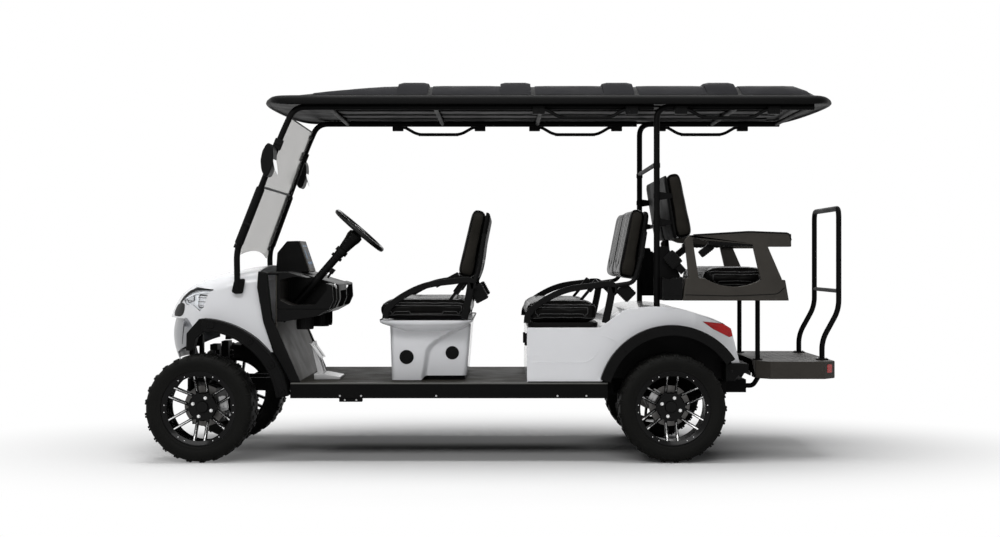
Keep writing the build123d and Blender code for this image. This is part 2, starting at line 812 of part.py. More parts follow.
def rear_bumper():
    outline = [(-1182, rear_body_bottom_z - seat_gap), (-1306, rear_body_bottom_z - seat_gap),
               (-1304, 463), (-1250, 440), (-1230, rail_top_z + 10), (-1182, rail_top_z + 10)]
    return side_plate(outline, -rear_body_half_width + 55, rear_body_half_width - 55)


def battery_pack():
    middle = (bay_front_x + bay_rear_x) / 2
    return wide_block(middle - battery_length / 2, middle + battery_length / 2,
                      battery_half_width, floor_z, floor_z + battery_height)


# ---- Seats ------------------------------------------------------------------------------

def cushion(front_x, rear_x, half_width, z0, z1):
    corners = [(front_x, half_width), (front_x, -half_width), (rear_x, -half_width),
               (rear_x, half_width)]
    return flat_plate(corners, z0, z1, cushion_corner)


def seat_backs(foot, head, facing):
    """Two backs side by side: foot and head are the (x, z) ends of their padded faces."""
    slope = Vector(head[0] - foot[0], head[1] - foot[1]).normalized()
    away = (-facing * slope.Y, facing * slope.X)
    outline = [foot, head,
               (head[0] + away[0] * back_top_thickness, head[1] + away[1] * back_top_thickness),
               (foot[0] + away[0] * back_thickness, foot[1] + away[1] * back_thickness)]
    low = back_split / 2
    return both_sides(side_plate(outline, low, low + back_width, 18))


def behind(foot, head, facing, height, clearance):
    """The (x, z) of a point behind a seat back, at a height, clear of its rear face."""
    slope = Vector(head[0] - foot[0], head[1] - foot[1]).normalized()
    away = Vector(-facing * slope.Y, facing * slope.X)
    low = Vector(*foot) + away * back_thickness
    high = Vector(*head) + away * back_top_thickness
    lean = (high.X - low.X) / (high.Y - low.Y)
    return low.X + lean * (height - low.Y) - facing * clearance * hypot(1, lean), height


rows = {
    # row: cushion front x, cushion rear x, back foot (x, z), back head (x, z)
    "front": (626.0, 150.0, (226.0, 982.0), (143.0, 1318.0)),
    "middle": (-136.0, -515.0, (-622.0, 996.0), (-690.0, 1321.0)),
}


def seat_rails(front_x, rail_rear_x, base_z, foot, head, side_y, drop):
    """Arm rails left and right, and the two cross tubes that carry the seat backs."""
    y = side_y + seat_gap + arm_tube_radius
    clearance = seat_gap + arm_tube_radius
    low = behind(foot, head, 1, foot[1] + 60, clearance)
    high = behind(foot, head, 1, foot[1] + 190, clearance)
    top_z = foot[1] - 35
    front = [(front_x, y, base_z - drop), (front_x, y, base_z + 75), (front_x - 80, y, base_z + 112),
             (front_x - 190, y, base_z + 175), (rail_rear_x + 20, y, top_z), (low[0] + 18, y, top_z),
             (low[0], y, low[1]), (high[0], y, high[1] + 2)]
    pieces = both_sides(bent_tube(front, 22, arm_tube_radius))
    leg = straight_tube((rail_rear_x, y, base_z - drop), (rail_rear_x - 30, y, top_z),
                        arm_tube_radius)
    pieces += both_sides(leg)
    for x, z in (low, high):
        pieces.append(cross_tube(x, z, arm_tube_radius, y))
    return joined(pieces)


def front_seat_pod():
    """A moulded base with a stepped plan, and a flared tray on top of it."""
    half, narrow = pod_half_width, pod_half_width - pod_step
    def plan(inset):
        return [(pod_front_x - inset, half - inset), (pod_front_x - inset, -half + inset),
                (400 - inset, -half + inset), (360 - inset, -narrow + inset),
                (pod_rear_x + inset, -narrow + inset), (pod_rear_x + inset, narrow - inset),
                (360 - inset, narrow - inset), (400 - inset, half - inset)]
    def tray(inset, z0, z1, spread):
        low = Plane.XY.offset(z0) * Pos((pod_front_x + pod_rear_x) / 2, 0) * RectangleRounded(
            pod_front_x - pod_rear_x - 2 * inset, 2 * half - 2 * inset, 30)
        high = Plane.XY.offset(z1) * Pos((pod_rim_front_x + pod_rim_rear_x) / 2, 0) * RectangleRounded(
            pod_rim_front_x - pod_rim_rear_x - 2 * spread, 2 * pod_rim_half_width - 2 * spread, 45)
        return loft([low, high])
    waist = pod_rim_bottom_z + 28
    base = flat_plate(plan(0), floor_z, pod_rim_bottom_z)
    inner = flat_plate(plan(pod_wall), floor_z - 1, pod_rim_bottom_z + 1)
    flare = tray(0, pod_rim_bottom_z, waist, 0)
    flare_in = tray(pod_wall, pod_rim_bottom_z - 0.01, waist + 0.01, pod_wall)
    middle_x = (pod_rim_front_x + pod_rim_rear_x) / 2
    length = pod_rim_front_x - pod_rim_rear_x
    band = Pos(middle_x, 0, waist) * extrude(
        RectangleRounded(length, 2 * pod_rim_half_width, 45), pod_rim_z - waist)
    band_in = Pos(middle_x, 0, waist - 1) * extrude(
        RectangleRounded(length - 2 * pod_wall, 2 * pod_rim_half_width - 2 * pod_wall, 40),
        pod_rim_z - waist - pod_wall + 1)
    return joined([base - inner, flare - flare_in, band - band_in])


def middle_lid():
    """The middle seat's board and cushion lift together off the battery bay."""
    front_x, rear_x = rows["middle"][:2]
    board = cushion(front_x - lid_board_margin, rear_x, cushion_half_width - lid_board_margin,
                    seat_box_z + seat_gap, seat_box_z + lid_board_thickness)
    pad = cushion(front_x, rear_x + 4, cushion_half_width,
                  seat_box_z + lid_board_thickness + seat_gap, 838.0)
    return board, pad


rear_back_foot, rear_back_head = (-1018.0, 1185.0), (-947.0, 1511.0)


def rear_seat_tub():
    """A tray with dished sides, open above the cushion and hollow below its floor."""
    half = tub_half_width
    outer = side_plate([(tub_front_x, tub_bottom_z), (tub_rear_x, tub_bottom_z),
                        (tub_rear_x + 19, tub_rim_z - 10), (tub_rear_x + 110, tub_rim_z),
                        (tub_front_x - 15, tub_rim_z)], -half, half)
    pocket = wide_block(tub_rear_x + 40, tub_front_x - 30, half - 45, tub_floor_z, tub_rim_z + 1)
    under = wide_block(tub_rear_x + 25, tub_front_x - tub_wall, half - tub_wall,
                       tub_bottom_z - 1, tub_floor_z - tub_wall)
    dip_x = (tub_front_x + tub_rear_x) / 2 + 10
    dip = cross_drum(dip_x, tub_rim_z + 240, 285, -half - 1, half + 1)
    tub = outer - pocket - under - dip
    arm_z = 1117.0
    arm_rest = [(-999, 1174), (-1294, 1192), (-1510, 1184), (-1510, arm_z), (-1383, arm_z),
                (-1380, 1130), (-1314, 1128), (-1060, 1150)]
    rear_leg = [(-1353, tub_rim_z - 8), (-1308, 1140), (-1379, 1140), (-1463, tub_rim_z - 8)]
    front_leg = [(-981, tub_rim_z - 8), (-959, 1150), (-975, 1172), (-1010, 1176),
                 (-1000, 1150), (-1032, tub_rim_z - 8)]
    for outline in (arm_rest, rear_leg, front_leg):
        wide = arm_width if outline is arm_rest else arm_width / 2
        for arm in both_sides(side_plate(outline, half - wide, half)):
            tub = tub + arm
    return tub


def rear_frame():
    """Pillars from a beam inside the fenders up into the roof, with braces and brackets."""
    beam_z = fender_top_z - 75
    beam = wide_block(rear_pillar_x - 20, rear_pillar_x + 20, rail_y + pillar_radius,
                      beam_z - 20, beam_z + 20)
    pieces = [beam]
    pieces += both_sides(block(rear_pillar_x - 20, rear_pillar_x + 20, main_rail_y + 5,
                               main_rail_y + 45, rail_top_z + seat_gap, beam_z))
    path = [(rear_pillar_x, rail_y, beam_z), (rear_pillar_x, rail_y, rail_z),
            (roof_rear_corner_x + 40, rail_y, rail_z)]
    pieces += both_sides(bent_tube(path, 70, pillar_radius))
    for x, z in ((rear_pillar_x, 1554), (roof_cross_places[3], rail_z),
                 (roof_cross_places[4], rail_z)):
        pieces.append(cross_tube(x, z, pillar_radius - 4, rail_y))
    clearance = seat_gap + arm_tube_radius
    for height in (rear_back_foot[1] + 60, rear_back_foot[1] + 200):
        x, z = behind(rear_back_foot, rear_back_head, -1, height, clearance)
        pieces.append(cross_tube(x, z, arm_tube_radius, rail_y))
        pieces += both_sides(side_plate([(rear_pillar_x, z - 30), (rear_pillar_x, z + 30),
                                         (x, z + 12), (x, z - 12)], rail_y - 6, rail_y + 6))
    cheek = [(rear_pillar_x, 1120), (rear_pillar_x - 60, 1120), (tub_front_x + seat_gap, 960),
             (tub_front_x + seat_gap, tub_bottom_z), (rear_pillar_x, tub_bottom_z)]
    pieces += both_sides(side_plate(cheek, rail_y - 5, rail_y + 5))
    return joined(pieces)


# ---- Step platform, posts and grab bar --------------------------------------------------

def step_platform():
    """A folded tray, bevelled at its corners, and open in front for the tubes that carry it."""
    bevel = 70
    def plan(inset):
        half = step_half_width - inset
        return [(step_front_x - inset, half - bevel), (step_front_x - inset, bevel - half),
                (step_front_x - bevel, -half), (step_rear_x + bevel, -half),
                (step_rear_x + inset, bevel - half), (step_rear_x + inset, half - bevel),
                (step_rear_x + bevel, half), (step_front_x - bevel, half)]
    tray = flat_plate(plan(0), step_z - step_depth, step_z)
    tray = tray - flat_plate(plan(step_wall), step_z - step_depth - 1, step_z - step_wall)
    for side in (-1, 1):
        tray = tray - block(step_front_x - 20, step_front_x + 1, side * main_rail_y,
                            side * (main_rail_y + rail_width), step_z - step_depth - 1,
                            step_z - step_wall)
    return tray


def rear_tubes():
    """Two tubes from the frame's rear end under the step, and the posts up to the seat tub."""
    y = main_rail_y + rail_width / 2
    tube_z = step_z - step_wall - seat_gap - post_radius
    rail_middle_z = (rail_bottom_z + rail_top_z) / 2
    path = [(main_rail_rear_x - seat_gap, y, rail_middle_z), (main_rail_rear_x - 40, y, rail_middle_z),
            (main_rail_rear_x - 120, y, tube_z), (step_rear_x + 60, y, tube_z)]
    post = straight_tube((post_x, post_y, step_z + seat_gap),
                         (post_x, post_y, tub_floor_z - tub_wall - seat_gap), post_radius)
    return both_sides(bent_tube(path, 25, post_radius)) + both_sides(post)


def grab_bar():
    """A hoop at the cart's tail with a low rung, its feet on the step."""
    path = [(grab_foot_x, grab_y, step_z + seat_gap), (grab_foot_x, grab_y, step_z + 104),
            (grab_rear_x, grab_y, 782), (grab_rear_x, grab_y, grab_top_z),
            (grab_rear_x, -grab_y, grab_top_z), (grab_rear_x, -grab_y, 782),
            (grab_foot_x, -grab_y, step_z + 104), (grab_foot_x, -grab_y, step_z + seat_gap)]
    rung = cross_tube(grab_rear_x, grab_rung_z, grab_radius - 4, grab_y)
    return bent_tube(path, 45, grab_radius) + rung


# ---- Roof, pillars, windscreen, mirrors -------------------------------------------------

def roof_outline(inset, z):
    """The roof's plan: bowed at the nose and the tail, rounded at its corners."""
    half = roof_half_width - inset
    front = (roof_front_corner_x - inset, half)
    rear = (roof_rear_corner_x + inset, half)
    nose = ThreePointArc((front[0], -half), (roof_front_x - inset, 0), front)
    tail = ThreePointArc(rear, (roof_rear_x + inset, 0), (rear[0], -half))
    face = make_face([nose, Line(front, rear), tail, Line((rear[0], -half), (front[0], -half))])
    return Pos(0, 0, z) * fillet(face.vertices(), roof_corner_radius)


def roof_plateau(inset, z):
    """The raised middle's plan."""
    length = roof_plateau_front_x - roof_plateau_rear_x
    middle_x = (roof_plateau_front_x + roof_plateau_rear_x) / 2
    return Pos(middle_x, 0, z) * RectangleRounded(
        length - 2 * inset, 2 * roof_plateau_half_width - 2 * inset, roof_corner_radius)


def roof_canopy():
    """A closed double-skinned moulding: a lip around its underside, ribs over its plateau."""
    rim_top = roof_bottom_z + roof_rim_height
    canopy = extrude(roof_outline(0, roof_bottom_z), roof_rim_height) + \
        loft([roof_outline(0, rim_top), roof_plateau(0, roof_plateau_z)])
    canopy = canopy - extrude(roof_outline(roof_lip_width, roof_bottom_z - 1), roof_lip + 1)
    for number in range(roof_ribs):
        x = roof_rib_first_x - number * roof_rib_pitch
        canopy = canopy + wide_block(x - roof_rib_length / 2, x + roof_rib_length / 2,
                                     roof_plateau_half_width - 40, roof_plateau_z - 5,
                                     roof_plateau_z + roof_rib_height)
    return canopy


roof_cross_places = (900.0, 340.0, -220.0, -1250.0, -1630.0)


pillar_path = [
    # x, y, z up the left front pillar, from its base plate to the roof rail
    (1366.0, cowl_half_width - pillar_foot_inset, 892.0),
    (1371.0, cowl_half_width - pillar_bend_inset, 1104.0),
    (1141.0, rail_y + pillar_top_spread, 1711.0),
    (1078.0, rail_y, rail_z),
    (950.0, rail_y, rail_z),
]


def pillar_point(z):
    """The middle of the left front pillar's long straight run at a height."""
    low, high = Vector(*pillar_path[1]), Vector(*pillar_path[2])
    return low + (high - low) * ((z - low.Z) / (high.Z - low.Z))


def front_pillars():
    """Bent tubes on base plates, with sleeves along the lower pane and a bar between panes."""
    tube = bent_tube(pillar_path, 60, pillar_radius)
    plate = side_plate([(1318, 944), (1306, 862), (1378, 880), (1392, 950)],
                       cowl_half_width - 80, cowl_half_width - 8, 8)
    sleeve = straight_tube(pillar_point(1130), pillar_point(1426), sleeve_radius)
    side = tube + sleeve + plate - cowl_solid(-seat_gap)
    split = pillar_point(screen_split_z)
    bar = cross_tube(split.X, split.Z, screen_bar_radius, split.Y)
    return joined(both_sides(side) + [bar])


def windscreen():
    """Two flat panes in the plane of the pillars, the lower one arched along its foot."""
    low, high = pillar_point(screen_bottom_z), pillar_point(screen_top_z)
    up = (high - low).normalized()
    slope = Vector(up.X, 0, up.Z).normalized()
    face_plane = Plane(origin=(low.X, 0, low.Z), x_dir=(0, 1, 0), z_dir=slope.cross(Vector(0, -1, 0)))
    def height(z):
        return (z - low.Z) / slope.Z
    def half_width(z, tube):
        return pillar_point(z).Y - tube - 2 * seat_gap
    gap = screen_bar_radius + seat_gap
    lower_top = height(screen_split_z) - gap
    upper_low = height(screen_split_z) + gap
    wide, narrow = half_width(screen_bottom_z, sleeve_radius), half_width(screen_split_z, sleeve_radius)
    foot = ThreePointArc((-wide, 0), (0, 45), (wide, 0))
    lower = make_face([foot, Line((wide, 0), (narrow, lower_top)),
                       Line((narrow, lower_top), (-narrow, lower_top)),
                       Line((-narrow, lower_top), (-wide, 0))])
    slim, top = half_width(screen_split_z, pillar_radius), half_width(screen_top_z, pillar_radius)
    upper = make_face(Polyline((-slim, upper_low), (slim, upper_low), (top, height(screen_top_z)),
                               (-top, height(screen_top_z)), close=True))
    return [extrude(face_plane * pane, screen_thickness / 2, both=True) for pane in (lower, upper)]


def mirrors():
    """Oval heads outside the pillars, each on a short stalk."""
    head_z = 1562.0
    seat = pillar_point(head_z)
    outline = [(1224, 1513), (1185, 1652), (1160, 1640), (1150, 1616), (1178, 1480), (1200, 1472)]
    stalk_y = seat.Y + pillar_radius + 2 * seat_gap
    head_y = stalk_y + mirror_stalk
    head = side_plate(outline, head_y, head_y + mirror_width, 8)
    stalk = rod((seat.X, stalk_y, head_z), (1188, head_y + 8, head_z), 8)
    return both_sides(head + stalk)


def roof_rails():
    """Tubes along the roof's underside from the front pillars back to the rear ones."""
    front_x = pillar_path[-1][0] - seat_gap
    rear_x = rear_pillar_x + pillar_radius + seat_gap
    pieces = both_sides(straight_tube((front_x, rail_y, rail_z), (rear_x, rail_y, rail_z),
                                      pillar_radius))
    for x in roof_cross_places[:3]:
        pieces.append(cross_tube(x, rail_z, pillar_radius - 4, rail_y))
    return joined(pieces)


def roof_handles():
    """Hand grips beside the roof rails: two on the left, three on the right."""
    y = rail_y + (pillar_radius + handle_radius) * cos(pi / tube_sides) + seat_gap
    grips = []
    for x, sides in ((362.0, (-1,)), (-447.0, (-1, 1)), (-1192.0, (-1, 1))):
        half = handle_grip / 2
        reach = half + handle_reach
        path = [(x - reach - handle_foot, y, rail_z), (x - reach, y, rail_z),
                (x - half, y, rail_z - handle_drop), (x + half, y, rail_z - handle_drop),
                (x + reach, y, rail_z), (x + reach + handle_foot, y, rail_z)]
        grip = bent_tube(path, 30, handle_radius)
        for side in sides:
            grips.append(grip if side > 0 else mirror(grip, about=Plane.XZ))
    return grips


# ---- Running gear -----------------------------------------------------------------------

def front_wishbones():
    """An upper and a lower wishbone from the subframe out to each kingpin."""
    frame_y = front_rail_y + rail_width + seat_gap
    arm_height = 20.0
    def wishbone(z, spread):
        outline = [(front_axle_x + spread, frame_y), (front_axle_x + spread, frame_y + 25),
                   (front_axle_x + 22, kingpin_y + 8), (front_axle_x + 12, kingpin_y + 22),
                   (front_axle_x - 12, kingpin_y + 22), (front_axle_x - 22, kingpin_y + 8),
                   (front_axle_x - spread, frame_y + 25), (front_axle_x - spread, frame_y)]
        window = [(front_axle_x + spread - 30, frame_y + 20), (front_axle_x + 12, kingpin_y - 60),
                  (front_axle_x - 12, kingpin_y - 60), (front_axle_x - spread + 30, frame_y + 20)]
        return flat_plate(outline, z, z + arm_height) - flat_plate(window, z - 1, z + arm_height + 1)
    low_top = kingpin_bottom_z - running_gap
    lower = wishbone(low_top - arm_height, 75)
    upper = wishbone(kingpin_top_z + running_gap, 95)
    return both_sides(lower) + both_sides(upper)


def spring_dampers():
    """Coil-over dampers, upright between the wishbones' arms."""
    low_top = kingpin_bottom_z - running_gap
    x, y = front_axle_x, damper_y
    bridge = block(x - 60, x + 60, y - 14, y + 14, low_top + seat_gap, low_top + 22)
    body = rod((x, y, low_top + 20), (x, y - damper_lean, damper_top_z - 2), 13)
    coil = rod((x, y - 6, low_top + 60), (x, y - damper_lean + 5, damper_top_z - 40),
               damper_coil_radius)
    return both_sides(bridge + body + coil)


def knuckle():
    """The kingpin boss with its spindle, steering arm and brake caliper."""
    boss = rod((front_axle_x, kingpin_y, kingpin_bottom_z), (front_axle_x, kingpin_y, kingpin_top_z),
               kingpin_radius)
    spindle = cross_drum(front_axle_x, axle_z, spindle_radius, kingpin_y, spindle_end_y())
    arm_z = axle_z - tie_rod_drop + tie_rod_radius + 6 + running_gap
    arm = flat_plate([(front_axle_x + 8, kingpin_y - 15), (front_axle_x + 8, kingpin_y + 15),
                      (front_axle_x - steering_arm - 14, kingpin_y + 12),
                      (front_axle_x - steering_arm - 14, kingpin_y - 12)],
                     arm_z, arm_z + steering_arm_height)
    caliper = block(front_axle_x - 118, front_axle_x - 62, kingpin_y + 8, kingpin_y + 42,
                    axle_z + 20, axle_z + 95)
    carrier = block(front_axle_x - 80, front_axle_x, kingpin_y - 6, kingpin_y + 12,
                    axle_z + 40, axle_z + 62)
    return joined([boss, spindle, arm, caliper, carrier])


def spindle_end_y():
    return wheel_y + hub_offset - 12


def tie_rod():
    """The bar between the steering arms, with an eye under each of them."""
    z = axle_z - tie_rod_drop
    x = front_axle_x - steering_arm
    bar = cross_drum(x, z, tie_rod_radius, -kingpin_y, kingpin_y)
    eyes = both_sides(rod((x, kingpin_y, z - 12), (x, kingpin_y, z + tie_rod_radius + 6),
                          tie_rod_eye_radius))
    return joined([bar] + eyes)


def rear_axle():
    """The beam axle with its gearbox and motor, on a leaf spring and a link each side."""
    tube_radius = 36.0
    housing_half = rear_liner_half_width - 20
    pieces = [cross_drum(rear_axle_x, axle_z, tube_radius, -housing_half, housing_half),
              cross_drum(rear_axle_x, axle_z, spindle_radius, -spindle_end_y(), spindle_end_y()),
              cross_drum(rear_axle_x, axle_z, 82, 20, 130),
              rod((rear_axle_x, -100, axle_z), (rear_axle_x, 30, axle_z), 88)]
    return joined(pieces)


def leaf_springs():
    y = main_rail_y + rail_width + 35
    top = axle_z + 36 + seat_gap
    spring = side_plate([(rear_axle_x + 320, top + 14), (rear_axle_x + 150, top + 2),
                         (rear_axle_x + 60, top), (rear_axle_x - 60, top),
                         (rear_axle_x - 150, top + 2), (rear_axle_x - 320, top + 14),
                         (rear_axle_x - 320, top + 22), (rear_axle_x - 60, top + 22),
                         (rear_axle_x + 60, top + 22), (rear_axle_x + 320, top + 22)], y - 25, y + 25)
    pieces = [spring]
    for x in (rear_axle_x + 300, rear_axle_x - 300):
        pieces.append(block(x - 15, x + 15, main_rail_y + rail_width + seat_gap, y + 25,
                            top + 20, rail_top_z - 6))
    return both_sides(joined(pieces))


def wheel_pieces():
    """A rim and a tyre about the Y axis, the outer side towards +Y."""
    lip = tyre_width / 2 - rim_lip_depth
    inner = -tyre_width / 2 + rim_inner_depth
    inside = rim_radius - rim_wall
    barrel = revolve(make_face(Polyline((inside, inner), (rim_radius, inner), (rim_radius, lip),
                                        (inside, lip), close=True)), Axis.Y)
    hub_back = hub_offset - hub_thickness
    hub = rod((0, hub_back, 0), (0, hub_offset, 0), hub_radius)
    cap = rod((0, hub_offset, 0), (0, hub_offset + hub_cap_height, 0), hub_cap_radius)
    boss = rod((0, hub_back - hub_boss_length, 0), (0, hub_back, 0), hub_boss_radius)
    bore = rod((0, hub_back - hub_boss_length - 1, 0), (0, hub_offset - 10, 0),
               spindle_radius + running_gap)
    spoke = [(hub_radius - 25, hub_back), (hub_radius - 25, hub_offset),
             (inside + 3, lip - 8), (inside + 3, lip - 42)]
    rim = joined([barrel, hub, cap, boss])
    for pair in range(spoke_pairs):
        for side in (-1, 1):
            z = side * spoke_pair_spread / 2
            bar = extrude(Pos(0, 0, z) * make_face(Polyline(*spoke, close=True)),
                          spoke_width / 2, both=True)
            rim = rim + Rot(0, 360 / spoke_pairs * (pair + 0.5), 0) * bar
    rim = rim - bore
    return rim, lugged_tyre()


def lugged_tyre():
    """A tyre with a flat under each lug, the lugs of its two sides taking turns."""
    half = tyre_width / 2
    tread = tread_width / 2
    base = tyre_radius - lug_height
    lugs = 2 * lugs_a_side
    step = 360 / lugs

    def drum(levels, sides):
        rings = []
        for y, radius in levels:
            ring = RegularPolygon(radius, sides, rotation=180 / sides)
            rings.append(Plane(origin=(0, y, 0), x_dir=(1, 0, 0), z_dir=(0, 1, 0)) * ring)
        return loft(rings, ruled=True)

    tyre = drum([(-half, tyre_widest_radius), (-tread, base), (tread, base),
                 (half, tyre_widest_radius)], lugs)
    bead = (rim_radius + seat_gap) / cos(pi / lugs_a_side)
    mouth = tyre_widest_radius - 5
    tyre = tyre - drum([(-half - 1, mouth), (-tyre_bead_width / 2, bead),
                        (tyre_bead_width / 2, bead), (half + 1, mouth)], lugs_a_side)
    shoulder = (tyre_radius + tyre_widest_radius) / 2
    lug = [(base - 4, lug_inner), (tyre_radius, lug_inner), (tyre_radius, tread + 3),
           (shoulder - 8, half - 5)]
    for number in range(lugs):
        side = 1 if number % 2 else -1
        outline = Polyline(*[(radius, side * y) for radius, y in lug], close=True)
        bar = extrude(make_face(outline), lug_length / 2, both=True)
        tyre = tyre + Rot(0, step * number, 0) * bar
    return tyre


# ---- Assembly ---------------------------------------------------------------------------

cowl_full = cowl_solid(0)
rear_full = rear_body_solid(0)

write("ladder_frame", ladder_frame())
write("front_subframe", *front_subframe())
write("side_sills", *side_sills())
write("floor_deck", floor_deck())
write("front_cowl", front_cowl(cowl_full))
write("headlamps", *headlamps(cowl_full))
write("grille", grille())
write("nose_fascia", nose_fascia())
write("front_flares", *front_flares(cowl_full))
write("cowl_trim", *cowl_trim())
write("firewall", firewall())
write("dashboard", dashboard())
write("cup_shelf", cup_shelf())
write("steering_column", steering_column())
write("steering_wheel", steering_wheel())
write("pedals", pedals())
write("rear_body", rear_body(rear_full))
write("tail_lamps", *tail_lamps(rear_full))
write("rear_flares", *rear_flares())
write("rear_bumper", rear_bumper())
write("battery_pack", battery_pack())

write("front_seat_pod", front_seat_pod())
front_x, rear_x, foot, head = rows["front"]
write("front_seat_cushion", cushion(front_x, rear_x, cushion_half_width, pod_rim_z + seat_gap, 845.0))
write("front_seat_backs", *seat_backs(foot, head, 1))
write("front_seat_rails", seat_rails(front_x - 43, rear_x + 34, pod_rim_z, foot, head,
                                     pod_rim_half_width, 30))
lid_board, lid_cushion = middle_lid()
write("middle_seat_board", lid_board)
write("middle_seat_cushion", lid_cushion)
front_x, rear_x, foot, head = rows["middle"]
write("middle_seat_backs", *seat_backs(foot, head, 1))
write("middle_seat_rails", seat_rails(front_x - 43, rear_x + 34, seat_box_z, foot, head,
                                      rear_body_half_width, 40))
write("rear_seat_tub", rear_seat_tub())
write("rear_seat_cushion", cushion(-1070.0, -1415.0, 500.0, tub_floor_z + seat_gap, 1012.0))
write("rear_seat_backs", *seat_backs(rear_back_foot, rear_back_head, -1))
write("rear_frame", rear_frame())

write("step_platform", step_platform())
write("rear_tubes", *rear_tubes())
write("grab_bar", grab_bar())

write("roof_canopy", roof_canopy())
write("roof_rails", roof_rails())
write("roof_handles", *roof_handles())
write("front_pillars", front_pillars())
write("windscreen", *windscreen())
write("mirrors", *mirrors())

write("wishbones", *front_wishbones())
write("spring_dampers", *spring_dampers())
write("rear_axle", rear_axle())
write("leaf_springs", *leaf_springs())

rim, tyre = wheel_pieces()
for end, axle_x in (("front", front_axle_x), ("rear", rear_axle_x)):
    for side, y in (("left", wheel_y), ("right", -wheel_y)):
        for name, solid in (("rim", rim), ("tyre", tyre)):
            shape = solid if y > 0 else mirror(solid, about=Plane.XZ)
            write(f"{name}_{end}_{side}", Pos(axle_x, y, axle_z) * shape)
for side, shape in zip(("left", "right"), both_sides(knuckle())):
    write(f"knuckle_{side}", shape)
write("tie_rod", tie_rod())
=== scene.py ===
import bmesh
import bpy
import json
import math
from mathutils import Matrix, Vector
from mathutils.bvhtree import BVHTree

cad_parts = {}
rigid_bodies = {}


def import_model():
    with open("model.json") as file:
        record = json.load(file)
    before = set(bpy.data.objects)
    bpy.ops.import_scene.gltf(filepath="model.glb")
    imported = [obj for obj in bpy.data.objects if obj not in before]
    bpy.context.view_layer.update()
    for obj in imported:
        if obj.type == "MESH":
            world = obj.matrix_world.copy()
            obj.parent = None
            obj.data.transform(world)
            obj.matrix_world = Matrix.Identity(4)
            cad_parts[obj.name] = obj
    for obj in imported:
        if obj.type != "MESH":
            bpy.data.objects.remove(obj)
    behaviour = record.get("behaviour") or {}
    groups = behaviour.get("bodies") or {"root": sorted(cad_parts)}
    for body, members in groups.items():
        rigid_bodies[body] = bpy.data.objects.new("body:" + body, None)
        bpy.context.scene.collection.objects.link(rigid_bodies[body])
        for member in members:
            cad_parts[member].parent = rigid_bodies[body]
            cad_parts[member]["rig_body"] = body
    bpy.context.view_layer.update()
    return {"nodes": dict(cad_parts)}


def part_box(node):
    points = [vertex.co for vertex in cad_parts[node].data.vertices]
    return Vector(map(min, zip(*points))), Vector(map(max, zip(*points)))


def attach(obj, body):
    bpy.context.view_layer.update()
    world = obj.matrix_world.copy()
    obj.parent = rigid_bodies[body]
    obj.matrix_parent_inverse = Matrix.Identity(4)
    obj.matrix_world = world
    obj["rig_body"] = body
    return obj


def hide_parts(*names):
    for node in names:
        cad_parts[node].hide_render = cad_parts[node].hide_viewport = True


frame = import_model()
scene = bpy.context.scene

# ---- The studio --------------------------------------------------------------------------
# A floor that runs out to white, grey near the cart so that its colour paints a halo of
# shade around the cart's shadow, four large soft lamps, and a camera level with the seats
# that looks at the cart's left side from 8.5 m.

camera_lens = bpy.data.cameras.new("camera")
camera_lens.sensor_width = 36.0
camera_lens.lens = 54.83
camera_lens.shift_x = -0.003
camera_lens.shift_y = -0.0085
camera = bpy.data.objects.new("camera", camera_lens)
camera.location = (-0.017, 8.5, 1.0485)
camera.rotation_euler = (math.radians(90), 0, math.radians(180))
scene.collection.objects.link(camera)
scene.camera = camera
scene.view_settings.view_transform = "Standard"


def feed(tree, node, inputs):
    """Sets a node's inputs: to a number or colour, or linked to another node's output."""
    for socket, value in inputs.items():
        if isinstance(value, bpy.types.NodeSocket):
            tree.links.new(value, node.inputs[socket])
        else:
            node.inputs[socket].default_value = value


def wired(tree, kind, inputs=None, output=0, **settings):
    """Adds a shader node with its settings and inputs, and hands back one of its outputs."""
    node = tree.nodes.new("ShaderNode" + kind)
    for setting, value in settings.items():
        setattr(node, setting, value)
    feed(tree, node, inputs or {})
    return node.outputs[output] if node.outputs else node


def backdrop_rays(tree):
    """1 for the rays that show a backdrop: seen straight, in a mirror or through glass."""
    paths = tree.nodes.new("ShaderNodeLightPath").outputs
    total = paths["Is Camera Ray"]
    for ray in ("Is Glossy Ray", "Is Transmission Ray"):
        total = wired(tree, "Math", {0: total, 1: paths[ray]}, operation="MAXIMUM")
    return total


studio_air = bpy.data.worlds.new("studio_air")
studio_air.use_nodes = True
scene.world = studio_air
air = studio_air.node_tree
air.nodes.clear()
room_light = wired(air, "Background", {"Color": (0.95, 0.97, 1.0, 1), "Strength": 0.11})
seen_white = wired(air, "Background", {"Color": (1.0, 1.0, 1.0, 1)})
air_mix = wired(air, "MixShader", {0: backdrop_rays(air), 1: room_light, 2: seen_white})
wired(air, "OutputWorld", {"Surface": air_mix})

floor_form = bmesh.new()
bmesh.ops.create_grid(floor_form, x_segments=1, y_segments=1, size=40.0)
floor_mesh = bpy.data.meshes.new("studio_floor")
floor_form.to_mesh(floor_mesh)
floor_form.free()
studio_floor = bpy.data.objects.new("studio_floor", floor_mesh)
scene.collection.objects.link(studio_floor)
floor_paint = bpy.data.materials.new("floor_paint")
floor_paint.use_nodes = True
paint = floor_paint.node_tree
paint.nodes.clear()
# Grey near the cart and white beyond the fade: the floor's colour paints a halo of shade around the
# cart's real shadow.
shade_halo_floor = wired(paint, "BsdfPrincipled", {"Base Color": (0.62, 0.62, 0.62, 1),
                                             "Roughness": 0.6, "Specular IOR Level": 0.0})
place = wired(paint, "NewGeometry", output="Position")
squeeze = wired(paint, "VectorMath", {0: place, 1: (0.62, 1.0, 0.0)}, operation="MULTIPLY")
reach = wired(paint, "VectorMath", {0: squeeze}, "Value", operation="LENGTH")
shade_halo_fade = wired(paint, "MapRange", {"Value": reach, "From Min": 0.7, "From Max": 2.2},
             interpolation_type="SMOOTHSTEP")
shown_far = wired(paint, "Math", {0: shade_halo_fade, 1: backdrop_rays(paint)}, operation="MULTIPLY")
